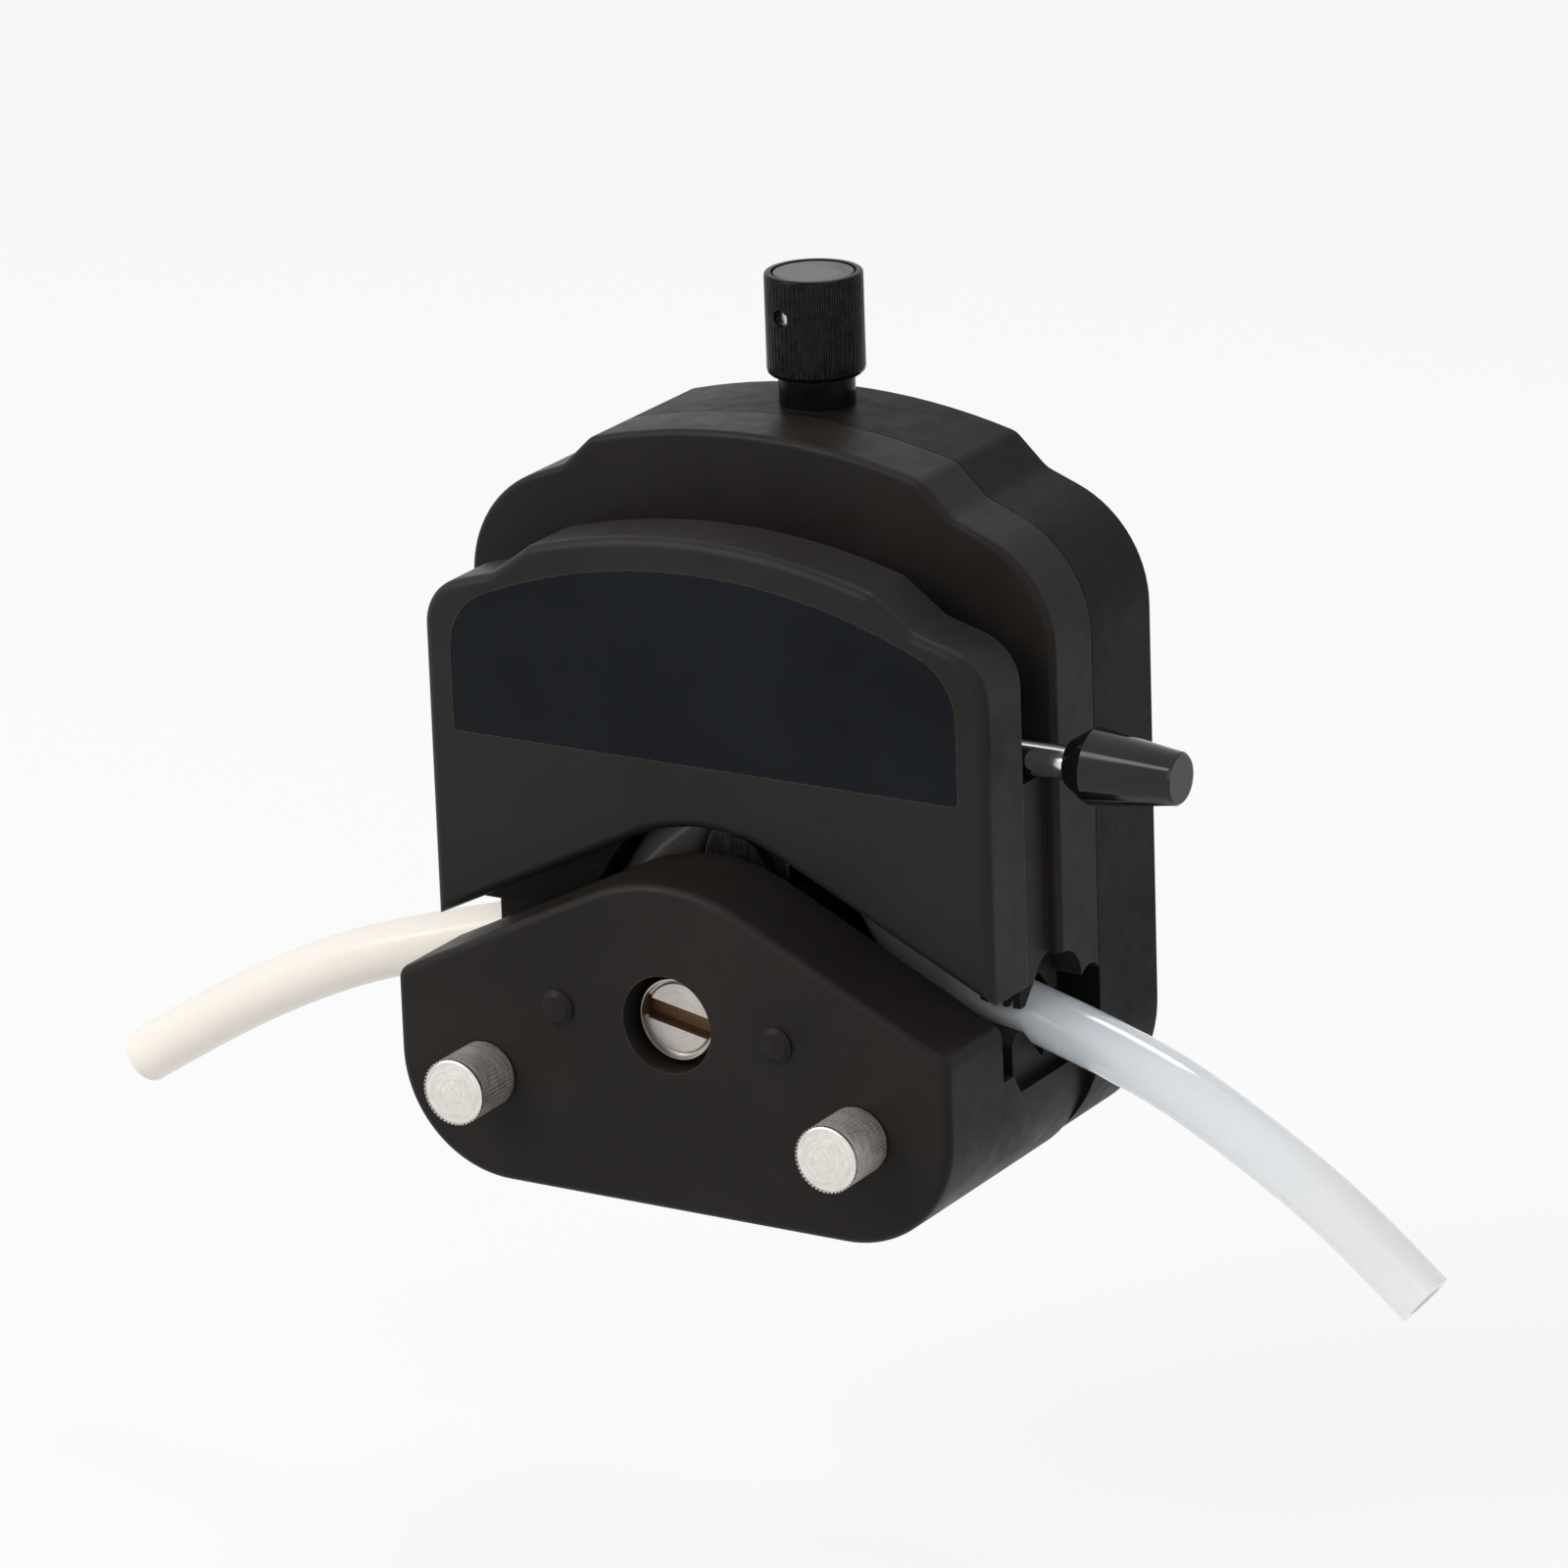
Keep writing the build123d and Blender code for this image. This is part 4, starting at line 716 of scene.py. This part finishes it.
def thumbscrew(side, material):
    """Fixing screw: knurled head with a polished end, plain shank and a rolled thread behind."""
    node = "thumbscrew_" + side
    low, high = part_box(node)
    middle = (low + high) / 2
    radius, behind_head = (high.x - low.x) / 2, low.y + SCREW_HEAD

    def rim(a, b):
        """Test for the outer edges of the head's two ends."""
        return (abs(a.y - b.y) < NEAR and min(off_axis(a, middle, 1), off_axis(b, middle, 1)) > radius - NEAR
                and (abs(a.y - low.y) < NEAR or abs(a.y - low.y - SCREW_HEAD) < NEAR))

    piece = begin(bpy.ops.mesh.primitive_cylinder_add, vertices=SCREW_SIDES, radius=radius, depth=SCREW_HEAD,
                  location=Vector((middle.x, low.y + SCREW_HEAD / 2, middle.z)), rotation=(pi / 2, 0, 0),
                  end_fill_type="NGON")
    pick("FACE", lambda place, normal: normal.y > 0.9)
    bpy.ops.mesh.inset(thickness=radius - SCREW_SHANK_R)
    push_out(BACK * SCREW_SHANK)
    pick("FACE", lambda place, normal: abs(normal.y) < 0.2 and off_axis(place, middle, 1) > radius - 0.1 * MM)
    bpy.ops.mesh.inset(thickness=0.02 * MM, depth=0.0)
    pick("EDGE", rim)
    bpy.ops.mesh.bevel(offset=SCREW_HEAD_BEVEL, segments=3, affect="EDGES")
    flute(1, middle, SCREW_FLUTES, 0.5, low.y + SCREW_PLAIN_FRONT, behind_head - SCREW_PLAIN_BACK,
          SCREW_FLUTE_DEPTH)
    bpy.ops.object.mode_set(mode="OBJECT")
    body = body_of_node[node]
    finish_piece(piece, "screw_" + side, body, material, smooth=30, replaced=[node])
    first, last = (high.y - back for back in THREAD_REACH)
    rolled_thread("screw_thread_" + side, middle, first, last, THREAD_ROOT, THREAD_CREST, THREAD_PITCH,
                  material, body)


# ---------------------------------------------------------------- surroundings
def background_ray(tree):
    """One for the rays that show the background: from the camera, from metal and through tubing."""
    ray = tree.nodes.new("ShaderNodeLightPath")
    return calc(tree, "MAXIMUM", calc(tree, "MAXIMUM", ray.outputs["Is Camera Ray"],
                                      ray.outputs["Is Glossy Ray"]), ray.outputs["Is Transmission Ray"])


def floor_finish():
    made, tree, shader = new_finish("floor_paint")
    place = object_place(tree)
    join(tree, blend_colour(tree, noise(tree, place, 3.0), (0.8, 0.8, 0.79), (0.84, 0.84, 0.83)),
         shader.inputs["Base Color"])
    shader.inputs["Roughness"].default_value = 0.7
    shown = add_node(tree, "ShaderNodeEmission", Color=(1, 1, 1, 1), Strength=1.0)
    both = tree.nodes.new("ShaderNodeMixShader")
    join(tree, calc(tree, "MULTIPLY", background_ray(tree), 0.8), both.inputs[0])
    join(tree, shader.outputs[0], both.inputs[1])
    join(tree, shown.outputs[0], both.inputs[2])
    join(tree, both.outputs[0], tree.nodes["Material Output"].inputs["Surface"])
    return made


def add_floor(drop):
    bpy.ops.object.select_all(action="DESELECT")
    bpy.ops.mesh.primitive_plane_add(size=12.0, location=(0, 0, drop))
    floor = bpy.context.active_object
    floor.name = "floor"
    floor.data.materials.append(floor_finish())


def add_world():
    """Pale surround for the camera, metal and tubing; a dimmer one lights the rest."""
    world = bpy.data.worlds.new("studio")
    world.use_nodes = True
    tree = world.node_tree
    shown = tree.nodes["Background"]
    shown.inputs["Color"].default_value = (1, 1, 1, 1)
    shown.inputs["Strength"].default_value = 1.0
    lit = add_node(tree, "ShaderNodeBackground", Color=(0.9, 0.93, 1.0, 1), Strength=0.45)
    both = tree.nodes.new("ShaderNodeMixShader")
    join(tree, background_ray(tree), both.inputs[0])
    join(tree, lit.outputs[0], both.inputs[1])
    join(tree, shown.outputs[0], both.inputs[2])
    join(tree, both.outputs[0], tree.nodes["World Output"].inputs["Surface"])
    bpy.context.scene.world = world


def add_lamp(name, place, size, power, tint=(1, 1, 1)):
    """Square soft box that faces the head."""
    data = bpy.data.lights.new(name, "AREA")
    data.shape = "SQUARE"
    data.size = size
    data.energy = power
    data.color = tint
    lamp = bpy.data.objects.new(name, data)
    lamp.location = place
    lamp.rotation_euler = (Vector((0, -0.03, 0.04)) - Vector(place)).to_track_quat("-Z", "Y").to_euler()
    bpy.context.scene.collection.objects.link(lamp)


# ---------------------------------------------------------------- main
bpy.context.scene.view_settings.view_transform = "Standard"
add_camera()

clear_tubing = tubing("clear_tubing", (0.9, 0.95, 0.98), (0.995, 0.99, 0.975), 0.35, (0.12, 0.2), coat=0.7)
cream_tubing = tubing("cream_tubing", (0.97, 0.9, 0.8), (0.97, 0.9, 0.81), 0.2, (0.3, 0.4))
free_tube("right", RIGHT_ROUTE, clear_tubing)
free_tube("left", LEFT_ROUTE, cream_tubing)
pumping_hose(cream_tubing, clear_tubing)

housing_black = moulded("housing_black", (0.0115, 0.0095, 0.008), (0.0175, 0.0148, 0.0128),
                        (0.075, 0.066, 0.056))
plate_black = moulded("plate_black", (0.0145, 0.0125, 0.0115), (0.021, 0.0185, 0.017), (0.1, 0.09, 0.08),
                      rough=(0.34, 0.46))
panel_blue_black = moulded("panel_blue_black", (0.008, 0.0092, 0.0115), (0.012, 0.0135, 0.016),
                           (0.03, 0.032, 0.036), rough=(0.5, 0.6), grain=4200.0, relief=0.12, dust=0.1,
                           shine=0.05)
# darker copy of the housing black for the rear housing: painted shade
rear_shaded_black = moulded("rear_shaded_black", (0.005, 0.0045, 0.004), (0.009, 0.008, 0.007), (0.05, 0.045, 0.04),
                     shine=0.12)
knob_black = moulded("knob_black", (0.003, 0.0028, 0.0024), (0.008, 0.0075, 0.0065), (0.16, 0.145, 0.13),
                     rough=(0.1, 0.2), grain=5200.0, relief=0.08, edge_reach=0.0002, shine=0.12)
knob_cap = metal("knob_cap", (0.02, 0.018, 0.016), (0.13, 0.115, 0.105), axis="X", rough=(0.25, 0.4),
                 fineness=900.0, stretch=0.5, relief=0.2)
grip_black = moulded("grip_black", (0.003, 0.0028, 0.0026), (0.006, 0.0056, 0.005), (0.1, 0.09, 0.085),
                     rough=(0.05, 0.1), grain=900.0, relief=0.03, shine=0.7)
plain_steel = metal("plain_steel", (0.46, 0.44, 0.42), (0.62, 0.6, 0.58), axis="X")
shaft_middle = centre("rotor_shaft")
turned_steel = metal("turned_steel", (0.4, 0.37, 0.34), (0.56, 0.52, 0.49), axis="Y",
                     middle=(shaft_middle.x, 0, shaft_middle.z), rough=(0.24, 0.38),
                     slot=NOSE_SLOT)
rod_middle = centre("lever_rod")
polished_rod = metal("polished_rod", (0.72, 0.7, 0.68), (0.86, 0.85, 0.83), axis="X",
                     middle=(0, rod_middle.y, rod_middle.z), rough=(0.04, 0.09), relief=0.03)
bronze = metal("bronze", (0.42, 0.27, 0.12), (0.58, 0.4, 0.2), axis="Y", rough=(0.3, 0.45))
# dark steel for the rotor parts inside the head: painted shade, not their own colour
shaded_steel = metal("shaded_steel", (0.03, 0.028, 0.025), (0.1, 0.095, 0.088), axis="Z", rough=(0.34, 0.5))
spring_steel = metal("spring_steel", (0.3, 0.28, 0.26), (0.48, 0.45, 0.42), axis="Z", rough=(0.25, 0.4))

finish_of_slot = {"black_pps": housing_black, "panel_blue_black": panel_blue_black,
                  "black_anodised": knob_black, "grip_black": grip_black, "stainless": plain_steel,
                  "bearing_steel": plain_steel, "chrome": polished_rod, "bronze": bronze,
                  "spring_steel": spring_steel, "tube_clear": cream_tubing}
finish_of_node = {"front_plate": plate_black, "rotor_shaft": turned_steel, "rear_housing": rear_shaded_black}
# the rotor parts seen through the gap take the painted-shade steel
for name in ("rotor_disc_front", "rotor_disc_rear", "roller_1", "roller_2", "roller_3", "rotor_hub",
             "roller_axles", "rotor_collar"):
    finish_of_node[name] = shaded_steel
for name, piece in nodes.items():
    slot = piece.material_slots[0]
    slot.material = finish_of_node.get(name) or finish_of_slot[slot.material.name.split(".")[0]]

knob(knob_black, knob_cap)
for side in ("left", "right"):
    middle = centre("thumbscrew_" + side)
    bright = metal("bright_screw_" + side, (0.66, 0.62, 0.58), (0.84, 0.8, 0.76), axis="Y",
                   middle=(middle.x, 0, middle.z), rough=(0.2, 0.34), fineness=2400.0, stretch=0.15,
                   relief=0.05, flank=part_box("thumbscrew_" + side)[0].y + 0.4 * MM)
    thumbscrew(side, bright)

add_floor(-0.1)
add_world()
add_lamp("key", place=(-0.9, -1.1, 1.1), size=1.2, power=22.0)
add_lamp("fill", place=(1.3, -0.9, 0.7), size=1.2, power=4.0)
add_lamp("top", place=(0.1, 0.5, 1.5), size=0.45, power=5.0)

bpy.context.view_layer.update()
